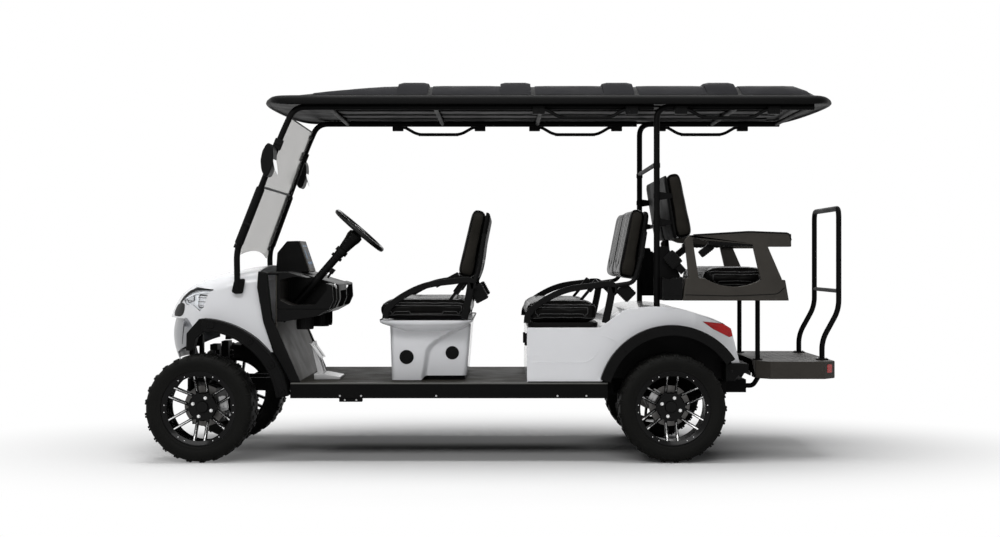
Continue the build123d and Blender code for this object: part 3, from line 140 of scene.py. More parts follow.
floor_mix = wired(paint, "MixShader", {0: shown_far, 1: shade_halo_floor,
                                       2: wired(paint, "Emission")})
wired(paint, "OutputMaterial", {"Surface": floor_mix})
floor_mesh.materials.append(floor_paint)

lamps = [
    # name, place, point it faces, width, depth, power
    ("overhead", (0.0, 0.3, 4.6), (0.0, 0.1, 0.0), 5.0, 2.2, 285.0),
    ("left_side", (1.0, 5.6, 4.2), (0.0, 0.0, 0.8), 6.0, 1.6, 185.0),
    ("right_side", (-1.0, -5.6, 4.2), (0.0, 0.0, 0.9), 6.0, 1.6, 110.0),
    ("nose", (6.0, 1.2, 3.2), (0.8, 0.0, 0.8), 3.0, 1.6, 50.0),
]
for name, spot, aim, width, depth, power in lamps:
    lamp = bpy.data.lights.new(name, "AREA")
    lamp.shape = "RECTANGLE"
    lamp.size = width
    lamp.size_y = depth
    lamp.energy = power
    stand = bpy.data.objects.new(name, lamp)
    stand.location = spot
    stand.rotation_euler = (Vector(aim) - Vector(spot)).to_track_quat("-Z", "Y").to_euler()
    scene.collection.objects.link(stand)

# ---- Frame and sills ---------------------------------------------------------------------
# Welded steel rails, cross members and box-section side sills, powder coated black. Bolts
# hold the jack brackets under the sills.


def blended(tree, value, start, first, end, last):
    """A colour that runs from the first to the last between two readings of a value."""
    ramp = tree.nodes.new("ShaderNodeValToRGB")
    for stop, position, colour in zip(ramp.color_ramp.elements, (start, end), (first, last)):
        stop.position = position
        stop.color = [*colour, 1]
    tree.links.new(value, ramp.inputs[0])
    return ramp.outputs[0]


def finish(name, colour, roughness, grain=500.0, depth=0.0002, mottle=0.12, metal=0.0,
           coat=0.0, specular=0.4, stretch=(1, 1, 1)):
    """A surface whose colour and polish drift slightly over a fine grain."""
    material = bpy.data.materials.new(name)
    material.use_nodes = True
    tree = material.node_tree
    spot = wired(tree, "TexCoord", output="Object")
    squashed = wired(tree, "Mapping", {"Scale": stretch, "Vector": spot})
    drift = wired(tree, "TexNoise", {"Scale": 7.0, "Detail": 4.0, "Vector": squashed}, "Fac")
    speckle = wired(tree, "TexNoise", {"Scale": grain, "Detail": 2.0, "Vector": squashed}, "Fac")
    polish = wired(tree, "MapRange", {
        "Value": drift, "From Min": 0.3, "From Max": 0.7, "To Min": roughness * 0.85,
        "To Max": min(1, roughness * 1.15)})
    feed(tree, tree.nodes["Principled BSDF"], {
        "Base Color": blended(tree, drift, 0.3, [c * (1 - mottle) for c in colour],
                              0.7, [min(1, c * (1 + mottle)) for c in colour]),
        "Roughness": polish,
        "Normal": wired(tree, "Bump", {"Strength": 0.5, "Distance": depth, "Height": speckle}),
        "Metallic": metal, "Coat Weight": coat, "Coat Roughness": 0.06,
        "Specular IOR Level": specular})
    return material


def placed(name, form, material, body="chassis", sharp=35.0):
    """Puts a form into the scene as one piece on its body."""
    mesh = bpy.data.meshes.new(name)
    bmesh.ops.recalc_face_normals(form, faces=form.faces)
    form.to_mesh(mesh)
    form.free()
    mesh.shade_smooth()
    mesh.set_sharp_from_angle(angle=math.radians(sharp))
    mesh.materials.append(material)
    piece = bpy.data.objects.new(name, mesh)
    scene.collection.objects.link(piece)
    steady = piece.modifiers.new("steady_shading", "WEIGHTED_NORMAL")
    steady.keep_sharp = True
    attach(piece, body)
    return piece


def ease_edges(form, edges, reach, clamped=True):
    """Rounds edges off by a reach, kept within their faces when clamped."""
    bmesh.ops.bevel(form, geom=edges, offset=reach, segments=2, profile=0.5, affect="EDGES",
                    clamp_overlap=clamped)


def eased(node, edge, material, limit=32.0):
    """The node's shape with its sharp edges eased, shown in the node's place."""
    source = frame["nodes"][node]
    form = bmesh.new()
    form.from_mesh(source.data)
    bmesh.ops.remove_doubles(form, verts=form.verts, dist=1e-5)
    bmesh.ops.dissolve_limit(form, angle_limit=math.radians(1.0), verts=form.verts,
                             edges=form.edges)
    if edge:
        corners = [e for e in form.edges
                   if e.is_manifold and e.calc_face_angle(0) > math.radians(limit)]
        ease_edges(form, corners, edge, False)
    piece = placed(node + "_skin", form, material, source["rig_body"])
    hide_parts(node)
    return piece


def add_stud(form, spot, direction, radius, height, sides=6, taper=0.86):
    """A bolt head or nut standing on a surface."""
    facing = Vector(direction).normalized()
    turn = facing.to_track_quat("Z", "Y").to_matrix().to_4x4()
    middle = Matrix.Translation(Vector(spot) + facing * height / 2)
    bmesh.ops.create_cone(form, cap_ends=True, segments=sides, radius1=radius,
                          radius2=radius * taper, depth=height, matrix=middle @ turn)


def add_block(form, low, high, edge=0.0, turn=None):
    """A box between two corners with rounded edges, turned about its middle if asked."""
    low, high = Vector(map(min, low, high)), Vector(map(max, low, high))
    size = high - low
    middle = Matrix.Translation((low + high) / 2)
    scale = Matrix.Diagonal((size.x, size.y, size.z, 1))
    tilt = turn.to_4x4() if turn else Matrix.Identity(4)
    made = bmesh.ops.create_cube(form, size=1.0, matrix=middle @ tilt @ scale)
    if edge:
        ease_edges(form, list({e for v in made["verts"] for e in v.link_edges}), edge)


powder_black = finish("powder_black", (0.004, 0.004, 0.004), 0.5, grain=900, depth=0.0001,
                      specular=0.04)
zinc = finish("zinc", (0.42, 0.42, 0.42), 0.35, grain=700, metal=1.0)

for node, edge in (("ladder_frame", 0.0015), ("front_subframe", 0.001), ("side_sills", 0.003)):
    eased(node, edge, powder_black)

sill_low, sill_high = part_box("side_sills")
bolts = bmesh.new()
for side in (-1, 1):
    face = side * sill_high.y
    for x in (-0.45, -0.30, 0.33, 0.72, 0.83):
        add_stud(bolts, (x, face, sill_low.z + 0.032), (0, side, 0), 0.006, 0.004)
    for x in (0.745, 0.805):
        add_stud(bolts, (x, face - side * 0.005, sill_low.z + 0.010), (0, side, 0), 0.0055, 0.004)
placed("sill_bolts", bolts, zinc)

# ---- Running gear ------------------------------------------------------------------------
# Forged wishbones and knuckles, a steel beam axle on leaf springs, and coil springs over the
# front dampers, all bolted to brackets on the frame.


def add_box(form, middle, half, edge=0.0, turn=None):
    """A box about its middle, by half its size each way."""
    middle, half = Vector(middle), Vector(half)
    add_block(form, middle - half, middle + half, edge, turn)


def add_tube(form, line, radius, sides=14, closed=False, capped=True):
    """A round tube along points in space; its radius may change from point to point."""
    points = [Vector(p) for p in line]
    count = len(points)
    radii = radius if isinstance(radius, (list, tuple)) else [radius] * count
    if closed:
        tangents = [(points[(i + 1) % count] - points[i - 1]).normalized() for i in range(count)]
    else:
        tangents = [(points[min(i + 1, count - 1)] - points[max(i - 1, 0)]).normalized()
                    for i in range(count)]
    side = tangents[0].orthogonal().normalized()
    rings = []
    for i in range(count):
        side = (side - tangents[i] * side.dot(tangents[i])).normalized()
        other = tangents[i].cross(side)
        rings.append([form.verts.new(points[i] + (side * math.cos(a) + other * math.sin(a))
                                     * radii[i])
                      for a in (2 * math.pi * k / sides for k in range(sides))])
    spans = count if closed else count - 1
    for i in range(spans):
        low, high = rings[i], rings[(i + 1) % count]
        shift = 0
        if closed and i == spans - 1:
            shift = min(range(sides), key=lambda k: (high[k].co - low[0].co).length)
        for k in range(sides):
            form.faces.new((low[k], low[(k + 1) % sides], high[(k + 1 + shift) % sides],
                            high[(k + shift) % sides]))
    if capped and not closed:
        form.faces.new(rings[0][::-1])
        form.faces.new(rings[-1])


def rounded(points, bend, steps=7):
    """The corners of a run of points turned into arcs."""
    points = [Vector(p) for p in points]
    line = [points[0]]
    for before, corner, after in zip(points, points[1:], points[2:]):
        into, out = (before - corner).normalized(), (after - corner).normalized()
        reach = min(bend, (before - corner).length * 0.48, (after - corner).length * 0.48)
        start, end = corner + into * reach, corner + out * reach
        for k in range(steps + 1):
            t = k / steps
            line.append(start.lerp(corner, t).lerp(corner.lerp(end, t), t))
    return line + [points[-1]]


cast_grey = finish("cast_grey", (0.11, 0.11, 0.11), 0.5, grain=420, depth=0.0004, metal=0.9)
disc_steel = finish("disc_steel", (0.16, 0.155, 0.15), 0.38, grain=200, metal=1.0,
                    stretch=(1, 40, 1))
damper_black = finish("damper_black", (0.008, 0.008, 0.008), 0.3, grain=600, specular=0.15)

eased("wishbones", 0.002, powder_black)
eased("leaf_springs", 0.0012, powder_black)
for node, edge in (("rear_axle", 0.003), ("knuckle_left", 0.002), ("knuckle_right", 0.002)):
    eased(node, edge, cast_grey)
eased("tie_rod", 0.001, zinc)

front_axle_x, rear_axle_x, axle_z = 1.555, -0.895, 0.280
damper_low, damper_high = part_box("spring_dampers")
coil_turns, steps_a_turn, coil_radius, wire_radius = 7, 24, 0.0245, 0.0052
dampers = bmesh.new()
coils = bmesh.new()
for side in (-1, 1):
    foot = Vector((front_axle_x, side * 0.255, damper_low.z + 0.002))
    head = Vector((front_axle_x, side * 0.212, damper_high.z - 0.002))
    add_box(dampers, foot + Vector((0, 0, 0.01)), (0.058, 0.013, 0.01), 0.004)
    run = head - foot
    rise = run.normalized()
    for start, end, radius, sides in ((0.02, 0.55, 0.019, 24), (0.5, 1.0, 0.009, 16)):
        add_tube(dampers, [foot + run * start, foot + run * end], radius, sides)
    for share in (0.17, 0.92):
        plate = foot + run * share
        add_tube(dampers, [plate, plate + rise * 0.006], 0.029, 28)
    across = run.orthogonal().normalized()
    other = rise.cross(across)
    helix = []
    for k in range(coil_turns * steps_a_turn + 1):
        angle = 2 * math.pi * k / steps_a_turn
        share = 0.19 + 0.72 * k / (coil_turns * steps_a_turn)
        helix.append(foot + run * share
                     + (across * math.cos(angle) + other * math.sin(angle)) * coil_radius)
    add_tube(coils, helix, wire_radius, 10)
damper_piece = placed("damper_bodies", dampers, damper_black)
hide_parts("spring_dampers")
placed("damper_coils", coils, powder_black)

# ---- Wheels ------------------------------------------------------------------------------
# Twin-spoke alloy rims, gloss black with a machined edge down each spoke, under off-road
# tyres whose shoulder lugs take turns. Four nuts and a plain cap close each hub, over a
# steel brake disc and a bolted caliper.

lugs_a_side = 25


def lathe(form, profile, segments, turn=0.0):
    """Spins a closed outline of (radius, y) points about the axle."""
    rings = []
    for k in range(segments):
        a = turn + 2 * math.pi * k / segments
        rings.append([form.verts.new((r * math.cos(a), y, r * math.sin(a))) for r, y in profile])
    count = len(profile)
    for k in range(segments):
        here, there = rings[k], rings[(k + 1) % segments]
        for i in range(count):
            j = (i + 1) % count
            form.faces.new((here[i], here[j], there[j], there[i]))


def add_prism(form, corners, thickness, place, edge=0.0):
    """A flat outline given thickness, laid out by a matrix, with eased rims."""
    made = [form.verts.new(place @ Vector((x, y, 0))) for x, y in corners]
    base = form.faces.new(made)
    grown = bmesh.ops.extrude_face_region(form, geom=[base])
    top = [v for v in grown["geom"] if isinstance(v, bmesh.types.BMVert)]
    shift = place.to_3x3() @ Vector((0, 0, thickness))
    bmesh.ops.translate(form, verts=top, vec=shift)
    if edge:
        ease_edges(form, list({e for v in made + top for e in v.link_edges}), edge)


def tyre_form():
    form = bmesh.new()
    wall = [(0.1955, 0.1165), (0.199, 0.1195), (0.206, 0.1212), (0.212, 0.1212), (0.214, 0.1228),
            (0.226, 0.1258), (0.240, 0.1268), (0.252, 0.1252), (0.261, 0.1204), (0.2680, 0.1140),
            (0.2724, 0.1050), (0.2744, 0.0880), (0.2752, 0.0400)]
    profile = wall + [(0.2754, 0.0)] + [(r, -y) for r, y in wall[::-1]]
    lathe(form, profile, 120)
    shoulder_lug = [(0.262, 0.060), (0.2798, 0.060), (0.2798, 0.106), (0.2740, 0.1145),
                    (0.2600, 0.1235), (0.2525, 0.1240), (0.2560, 0.112)]
    for k in range(2 * lugs_a_side):
        side = 1 if k % 2 else -1
        angle = -math.pi * k / lugs_a_side
        for half in (-1, 1):
            turn = Matrix.Rotation(angle + half * 0.0255, 4, "Y")
            add_prism(form, [(r, side * y) for r, y in shoulder_lug], 0.0112,
                      turn @ Matrix.Translation((0, 0, -0.0056)), 0.0016)
        for y0, y1, lean in ((0.004, 0.050, 0.035), (0.026, 0.052, 0.080)):
            low, high = sorted((side * y0, side * y1))
            block = [(0.266, low), (0.2796, low), (0.2796, high), (0.266, high)]
            turn = Matrix.Rotation(angle + lean, 4, "Y")
            add_prism(form, block, 0.0135, turn @ Matrix.Translation((0, 0, -0.0075)), 0.0014)
    return form


def around(degrees, radius, x=0.0, z=0.0):
    """The (x, z) of a point on a circle about an axle."""
    angle = math.radians(degrees)
    return x + radius * math.cos(angle), z + radius * math.sin(angle)


def spoke_places(offset):
    """Where each of the twelve spokes lies: six pairs about the axle."""
    return [Matrix.Rotation(-math.radians(60 * (pair + 0.5)), 4, "Y")
            @ Matrix.Translation((0, 0, side * 0.027 - offset))
            for pair in range(6) for side in (-1, 1)]


def rim_form():
    form = bmesh.new()
    barrel = [(0.183, -0.1145), (0.1945, -0.1145), (0.1945, -0.106), (0.188, -0.102),
              (0.186, -0.060), (0.186, 0.080), (0.190, 0.104), (0.1945, 0.108), (0.1945, 0.112),
              (0.190, 0.1125), (0.186, 0.1100), (0.172, 0.1040), (0.168, 0.1020), (0.168, 0.0965),
              (0.180, 0.0930), (0.180, -0.060), (0.180, -0.110)]
    lathe(form, barrel, 96)
    hub = [(0.0, -0.021), (0.060, -0.021), (0.075, -0.016), (0.075, 0.000), (0.070, 0.006),
           (0.036, 0.007), (0.0, 0.007)]
    lathe(form, hub, 72)
    lathe(form, [(0.0185, -0.053), (0.040, -0.053), (0.040, -0.018), (0.0185, -0.018)], 40)
    cap = [(0.0, 0.0225), (0.022, 0.0225), (0.029, 0.0205), (0.032, 0.0155), (0.032, 0.004),
           (0.0, 0.004)]
    lathe(form, cap, 48)
    spoke = [(0.050, -0.020), (0.050, 0.006), (0.074, 0.0072), (0.110, 0.040), (0.150, 0.078),
             (0.178, 0.0985), (0.1845, 0.0985), (0.1845, 0.066), (0.150, 0.046), (0.090, -0.006)]
    for place in spoke_places(0.0075):
        add_prism(form, spoke, 0.015, place, 0.0014)
    return form


def rim_trim_form():
    form = bmesh.new()
    machined_edge = [(0.080, 0.0105), (0.080, 0.0135), (0.1105, 0.0412), (0.150, 0.0790),
                     (0.1760, 0.0992), (0.1800, 0.0992), (0.1790, 0.0960), (0.150, 0.0765),
                     (0.110, 0.0385)]
    for place in spoke_places(0.0028):
        add_prism(form, machined_edge, 0.0062, place, 0.0006)
    out = (0, 1, 0)
    for k in range(12):
        x, z = around(30 * k + 9 * (1 if k % 2 else -1) + 15, 0.1795)
        add_stud(form, (x, 0.1060, z), out, 0.0034, 0.0034, 10, 0.7)
    for k in range(4):
        x, z = around(90 * k + 20, 0.0508)
        add_stud(form, (x, 0.0058, z), out, 0.0098, 0.016, 6, 0.94)
        add_stud(form, (x, 0.0215, z), out, 0.0066, 0.004, 16, 0.7)
    return form


def disc_form():
    form = bmesh.new()
    lathe(form, [(0.042, -0.070), (0.106, -0.070), (0.108, -0.069), (0.108, -0.064),
                 (0.106, -0.063), (0.048, -0.063), (0.046, -0.050), (0.042, -0.050)], 72)
    for k in range(24):
        x, z = around(15 * k, (0.064, 0.079, 0.094)[k % 3])
        add_stud(form, (x, -0.0632, z), (0, 1, 0), 0.0035, 0.0006, 10, 1.0)
    return form


def fitted(form, centre, side):
    """Moves a wheel piece made about the origin to its hub; the right one is a mirror image."""
    bmesh.ops.scale(form, vec=(1, side, 1), verts=form.verts)
    bmesh.ops.translate(form, vec=centre, verts=form.verts)
    return form


rubber = finish("tyre_rubber", (0.006, 0.006, 0.0055), 0.6, grain=260, depth=0.0004,
                mottle=0.25, specular=0.06)
rim_gloss = finish("rim_gloss_black", (0.003, 0.003, 0.003), 0.2, grain=300, depth=0.00004,
                   coat=0.05, specular=0.08)
machined = finish("machined_alloy", (0.80, 0.80, 0.80), 0.24, grain=900, depth=0.00008,
                  mottle=0.05, metal=1.0)

ends = [
    # end, its axle's x, the caliper's place from the hub (x, z)
    ("front", front_axle_x, (-0.098, 0.014)),
    ("rear", rear_axle_x, (0.085, 0.050)),
]
wheel_pieces = [
    # piece, its shape, material, slot, sharp angle, what it stands for
    ("road_tyre", tyre_form, rubber, "tyre", 40, "tyre"),
    ("alloy_rim", rim_form, rim_gloss, "rim_black", 30, "rim"),
    ("rim_trim", rim_trim_form, machined, "rim_black", 30, ""),
    ("brake_disc", disc_form, disc_steel, "steel_grey", 30, ""),
]
hub_y = 0.528
for end, axle_x, (dx, dz) in ends:
    for side_name, side in (("left", 1), ("right", -1)):
        hub = Vector((axle_x, side * hub_y, axle_z))
        corner = f"{end}_{side_name}"
        for name, shape, material, slot, sharp, node in wheel_pieces:
            piece = placed(f"{name}_{corner}", fitted(shape(), hub, side), material,
                           f"wheel_{corner}", sharp)
            if node:
                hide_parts(f"{node}_{corner}")
        caliper = bmesh.new()
        reach = Vector((dx, 0, dz)).normalized()
        turn = Matrix((reach, (0, 1, 0), reach.cross(Vector((0, 1, 0))))).transposed()
        middle = hub + Vector((dx, -side * 0.048, dz))
        for half, shift in (((0.021, 0.011, 0.040), 0.0), ((0.012, 0.013, 0.030), 0.012)):
            add_box(caliper, middle + reach * shift, half, 0.004, turn)
        for lift in (-0.022, 0.022):
            spot = middle + turn @ Vector((-0.004, 0, lift)) + Vector((0, side * 0.011, 0))
            add_stud(caliper, spot, (0, side, 0), 0.008, 0.003, 20)
        placed(f"brake_caliper_{corner}", caliper, zinc,
               f"knuckle_{side_name}" if end == "front" else "chassis")

# ---- Floor -------------------------------------------------------------------------------
# A plywood deck under a black rubber mat whose fine ribs run across the cart, with a
# bright aluminium edging along each side.

deck_low, deck_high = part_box("floor_deck")
mat_rubber = finish("mat_rubber", (0.022, 0.020, 0.015), 0.6, grain=500, depth=0.0004, mottle=0.2,
                    specular=0.06)
edging_alloy = finish("edging_alloy", (0.10, 0.10, 0.095), 0.5, grain=800, metal=1.0)

mat = bmesh.new()
add_block(mat, deck_low, (deck_high.x, deck_high.y, deck_high.z - 0.002), 0.001)
x = deck_low.x + 0.008
while x < deck_high.x - 0.012:
    add_block(mat, (x, deck_low.y + 0.016, deck_high.z - 0.003),
              (x + 0.006, deck_high.y - 0.016, deck_high.z - 0.0002))
    x += 0.012
mat_piece = placed("floor_mat", mat, mat_rubber)
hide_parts("floor_deck")
edging = bmesh.new()
near, far = deck_low.x + 0.002, deck_high.x - 0.002
for side in (-1, 1):
    outer = side * (deck_high.y + 0.0008)
    add_block(edging, (near, outer, deck_high.z - 0.0026),
              (far, side * (deck_high.y - 0.015), deck_high.z), 0.0006)
    add_block(edging, (near, outer, deck_low.z),
              (far, side * (deck_high.y - 0.0006), deck_high.z), 0.0005)
placed("floor_edging", edging, edging_alloy)

# ---- Rear body ---------------------------------------------------------------------------
# One glossy white thermoformed moulding: a box under the middle seat, swept fenders behind,
# red lamps let into its corners, and black flares clipped around the wheel arches.

gloss_white = finish("gloss_white", (0.74, 0.745, 0.765), 0.24, grain=120, depth=0.00003,
                     mottle=0.012, coat=0.5, specular=0.5)
grained_black = finish("grained_black", (0.004, 0.004, 0.004), 0.46, grain=1400, depth=0.0002,
                       mottle=0.15, specular=0.06)
lamp_red = finish("lamp_red", (0.52, 0.002, 0.003), 0.16, grain=60, depth=0.0006, mottle=0.30,
                  coat=0.15, specular=0.2)
battery_case = finish("battery_grey", (0.03, 0.03, 0.033), 0.5, grain=900, specular=0.15)

eased("rear_body", 0.0022, gloss_white)
for node, edge in (("rear_flares", 0.002), ("rear_bumper", 0.006)):
    eased(node, edge, grained_black)
eased("battery_pack", 0.008, battery_case)
eased("tail_lamps", 0.0012, lamp_red)

body_low, body_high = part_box("rear_body")
folds, joints, lamp_lines = bmesh.new(), bmesh.new(), bmesh.new()
for side in (-1, 1):
    face = side * body_high.y
    fold = rounded([(body_high.x - 0.020, face, 0.5155), (-0.452, face, 0.5155),
                    (-0.498, face, 0.548), (-0.524, face, 0.600)], 0.045)
    count = len(fold)
    add_tube(folds, fold, [0.0016 * min(1, 8 * (1 - i / (count - 1)) + 0.2)
                           for i in range(count)], 12)
    crease = rounded([(-0.470, face, 0.664), (-0.545, face, 0.653), (-0.590, face, 0.636),
                      (-0.612, face, 0.610)], 0.04)
    add_tube(folds, crease, [0.0004 + 0.0016 * math.sin(math.pi * i / (len(crease) - 1))
                             for i in range(len(crease))], 12)
    add_block(joints, (-0.560, face - side * 0.004, body_low.z),
              (body_high.x - 0.004, face + side * 0.0006, body_low.z + 0.0045))
    for drop in (0.014, 0.026, 0.038):
        line = [(-1.105, face + side * 0.0005, 0.7205 - drop * 0.55),
                (-1.165, face - side * 0.0030, 0.7120 - drop),
                (-1.212, face - side * 0.016, 0.6920 - drop)]
        add_tube(lamp_lines, rounded(line, 0.02), 0.0008, 8)
placed("rear_body_folds", folds, gloss_white, sharp=60)
placed("rear_body_joints", joints, grained_black)
placed("tail_lamp_ribs", lamp_lines, lamp_red, sharp=60)

latch = bmesh.new()
front = body_high.x
add_block(latch, (front - 0.001, 0.440, 0.598), (front + 0.010, 0.486, 0.662), 0.003)
add_block(latch, (front + 0.008, 0.452, 0.612), (front + 0.020, 0.474, 0.668), 0.003)
add_stud(latch, (front + 0.009, 0.463, 0.606), (1, 0, 0), 0.004, 0.003)
placed("seat_box_latch", latch, grained_black)

arch_z = 0.374


def side_view(y, side=1):
    """Lays an outline of (x, z) points upright at a distance y from the cart's middle."""
    return Matrix(((1, 0, 0, 0), (0, 0, side, y), (0, 1, 0, 0), (0, 0, 0, 1)))


well_walls_and_shade, flare_clips = bmesh.new(), bmesh.new()
# A black wall closes each rear wheel well behind the tyre; its black also paints the shade inside
# the well.
arch = [around(angle, 0.322, rear_axle_x, arch_z) for angle in range(8, 173, 4)]
for side in (-1, 1):
    add_prism(well_walls_and_shade, arch, 0.003, side_view(min(side * 0.386, side * 0.389)))
    for angle in (18, 40, 65, 92, 118, 140, 162):
        x, z = around(angle, 0.319, rear_axle_x, arch_z)
        add_stud(flare_clips, (x, side * 0.6246, z), (0, side, 0), 0.0075, 0.003, 20, 0.8)
placed("rear_well_walls_and_shade", well_walls_and_shade, grained_black)
placed("rear_flare_clips", flare_clips, grained_black)

# ---- Front body --------------------------------------------------------------------------
# The cowl is one white thermoformed moulding, with a black slotted grille let into its nose,
# a silver-grey bowed fascia bolted under it, and black trim around the door openings.

silver_satin = finish("silver_satin", (0.22, 0.225, 0.24), 0.32, grain=500, depth=0.00008,
                      mottle=0.04, coat=0.25, specular=0.45)

eased("front_cowl", 0.0015, gloss_white, 40)
eased("grille", 0.0006, grained_black)
eased("nose_fascia", 0.0012, silver_satin, 40)
eased("cowl_trim", 0.006, grained_black)


def surface_of(*nodes):
    """What a moulding is laid on: the outer faces of these nodes together."""
    form = bmesh.new()
    for node in nodes:
        form.from_mesh(frame["nodes"][node].data)
    tree = BVHTree.FromBMesh(form)
    form.free()
    return tree


def laid_on(form, outline, surface, side, proud, thick, step=0.010, edge=0.0):
    """A moulding cut to an outline in side view, (x, z), and laid on a curved surface."""
    sheet = bmesh.new()
    sheet.faces.new([sheet.verts.new((x, 0, z)) for x, z in outline])
    for axis in (0, 2):
        places = [v.co[axis] for v in sheet.verts]
        for k in range(1, int((max(places) - min(places)) / step) + 1):
            spot, normal = Vector(), Vector()
            spot[axis] = min(places) + k * step
            normal[axis] = 1
            bmesh.ops.bisect_plane(sheet, geom=sheet.verts[:] + sheet.edges[:] + sheet.faces[:],
                                   plane_co=spot, plane_no=normal)
    for v in sheet.verts:
        start = Vector((v.co.x, side * 1.5, v.co.z))
        hit = surface.ray_cast(start, Vector((0, -side, 0)))[0]
        if hit is None:
            hit = surface.find_nearest(Vector((v.co.x, side * 0.5, v.co.z)))[0]
        v.co.y = hit.y + side * proud
    rims = [e for e in sheet.edges if e.is_boundary]
    grown = bmesh.ops.extrude_face_region(sheet, geom=sheet.faces[:])
    back = [v for v in grown["geom"] if isinstance(v, bmesh.types.BMVert)]
    bmesh.ops.translate(sheet, verts=back, vec=(0, -side * thick, 0))
    if edge:
        ease_edges(sheet, [e for e in rims if e.is_valid], edge)
    bmesh.ops.recalc_face_normals(sheet, faces=sheet.faces)
    carried = bpy.data.meshes.new("laid")
    sheet.to_mesh(carried)
    sheet.free()
    form.from_mesh(carried)
    bpy.data.meshes.remove(carried)


def curve_through(corners, bend=0.02, steps=4):
    """An outline in side view with its corners turned into arcs."""
    count = len(corners)
    line = []
    for k in range(count):
        before, corner, after = (Vector(corners[k - 1]), Vector(corners[k]),
                                 Vector(corners[(k + 1) % count]))
        into, out = (before - corner), (after - corner)
        reach = min(bend, into.length * 0.45, out.length * 0.45)
        start, end = corner + into.normalized() * reach, corner + out.normalized() * reach
        for i in range(steps + 1):
            t = i / steps
            line.append(start.lerp(corner, t).lerp(corner.lerp(end, t), t)[:])
    return line


cowl_surface = surface_of("front_cowl", "headlamps")

# The fascia's ears lap up over the cowl's corners, and a black strip down each side paints the
# shade of a crease.
ears, creases = bmesh.new(), bmesh.new()
fascia_surface = surface_of("nose_fascia", "front_cowl")
ear = curve_through([
    (1.6740, 0.7420), (1.6560, 0.7440), (1.6380, 0.7270), (1.6200, 0.7040), (1.6070, 0.6780),
    (1.6000, 0.6500), (1.6060, 0.6400), (1.6370, 0.6245), (1.6700, 0.7250)], 0.010)
# Painted shade: a thin black strip where a crease would hold shade.
crease = [(1.6790, 0.7330), (1.6860, 0.7330), (1.7020, 0.5980), (1.6980, 0.5980)]
for side in (-1, 1):
    laid_on(ears, ear, cowl_surface, side, 0.0025, 0.0050, edge=0.001)
    laid_on(creases, crease, fascia_surface, side, 0.0012, 0.0030)
placed("fascia_ears", ears, silver_satin)
placed("fascia_crease_shade", creases, grained_black)

# ---- Head lamps --------------------------------------------------------------------------
# A pale moulded tray with chromed reflectors lies under a clear cover, flush with the cowl,
# and a black brow and surround are clipped over its edges.

lens_outline = curve_through([
    (1.5000, 0.8920), (1.5280, 0.8760), (1.5530, 0.8020), (1.5750, 0.7815), (1.6210, 0.8140),
    (1.6570, 0.8070), (1.6880, 0.8500), (1.6000, 0.9030)], 0.012)
clear_cover = finish("clear_cover", (0.93, 0.94, 0.95), 0.06, grain=60, depth=0.00004,
                     mottle=0.02, specular=0.4)
feed(clear_cover.node_tree, clear_cover.node_tree.nodes["Principled BSDF"],
     {"Transmission Weight": 0.95, "IOR": 1.04})
lamp_tray_white = finish("lamp_tray_white", (0.72, 0.73, 0.75), 0.3, grain=90, depth=0.0002,
                         mottle=0.08)
reflector_chrome = finish("reflector_chrome", (0.62, 0.62, 0.63), 0.16, grain=45, depth=0.0012,
                          mottle=0.30, metal=1.0)
reflector_shapes = [
    [(1.524, 0.8650), (1.546, 0.8010), (1.573, 0.7920), (1.588, 0.8040), (1.581, 0.8690)],
    [(1.608, 0.8330), (1.650, 0.8200), (1.668, 0.8440), (1.640, 0.8620), (1.612, 0.8640)],
]
lamp_strip = [
    (1.508, 0.8840), (1.545, 0.8835), (1.602, 0.8760), (1.652, 0.8560), (1.678, 0.8440),
    (1.672, 0.8370), (1.648, 0.8490), (1.600, 0.8690), (1.545, 0.8765), (1.512, 0.8775)]
brow = curve_through([
    (1.4965, 0.8945), (1.5450, 0.8990), (1.6000, 0.9015), (1.6450, 0.8860), (1.6870, 0.8540),
    (1.7120, 0.8230), (1.7040, 0.8130), (1.6830, 0.8400), (1.6420, 0.8700), (1.6000, 0.8870),
    (1.5480, 0.8910), (1.5000, 0.8890)], 0.012)
surround = curve_through([
    (1.6720, 0.8170), (1.7040, 0.8220), (1.7340, 0.8060), (1.7560, 0.7700), (1.7580, 0.7480),
    (1.7080, 0.7460), (1.6860, 0.7560), (1.6740, 0.7800)], 0.012)
covers, trays, reflectors, lamp_frames, brows = (bmesh.new() for _ in range(5))
for side in (-1, 1):
    laid_on(covers, lens_outline, cowl_surface, side, 0.0004, 0.0025)
    laid_on(trays, lens_outline, cowl_surface, side, -0.0200, 0.0040)
    for outline in reflector_shapes:
        middle = sum((Vector(p) for p in outline), Vector((0, 0))) / len(outline)
        inner = [(middle + (Vector(p) - middle) * 0.80)[:] for p in outline]
        laid_on(lamp_frames, curve_through(outline, 0.008), cowl_surface, side, -0.015, 0.005)
        laid_on(reflectors, curve_through(inner, 0.008), cowl_surface, side, -0.012, 0.004,
                0.006, 0.001)
    for row in range(3):
        x, z = 1.530 - 0.004 * row, 0.806 + 0.021 * row
        bar = [(x, z), (1.588, z + 0.001), (1.588, z + 0.004), (x, z + 0.003)]
        laid_on(lamp_frames, bar, cowl_surface, side, -0.0095, 0.002)
    laid_on(trays, lamp_strip, cowl_surface, side, -0.0080, 0.0030)
    for outline in (brow, surround):
        laid_on(brows, outline, cowl_surface, side, 0.0022, 0.0060)
cover_piece = placed("lamp_covers", covers, clear_cover)
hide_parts("headlamps")
placed("lamp_trays", trays, lamp_tray_white)
placed("lamp_reflectors", reflectors, reflector_chrome)
placed("lamp_frames", lamp_frames, grained_black)
placed("lamp_brows", brows, grained_black)

# ---- Front flares ------------------------------------------------------------------------
# Thermoformed black arches with two ribs along their faces. Hex bolts in raised bosses hold
# them to the cowl, around the wheels.

eased("front_flares", 0.002, grained_black)

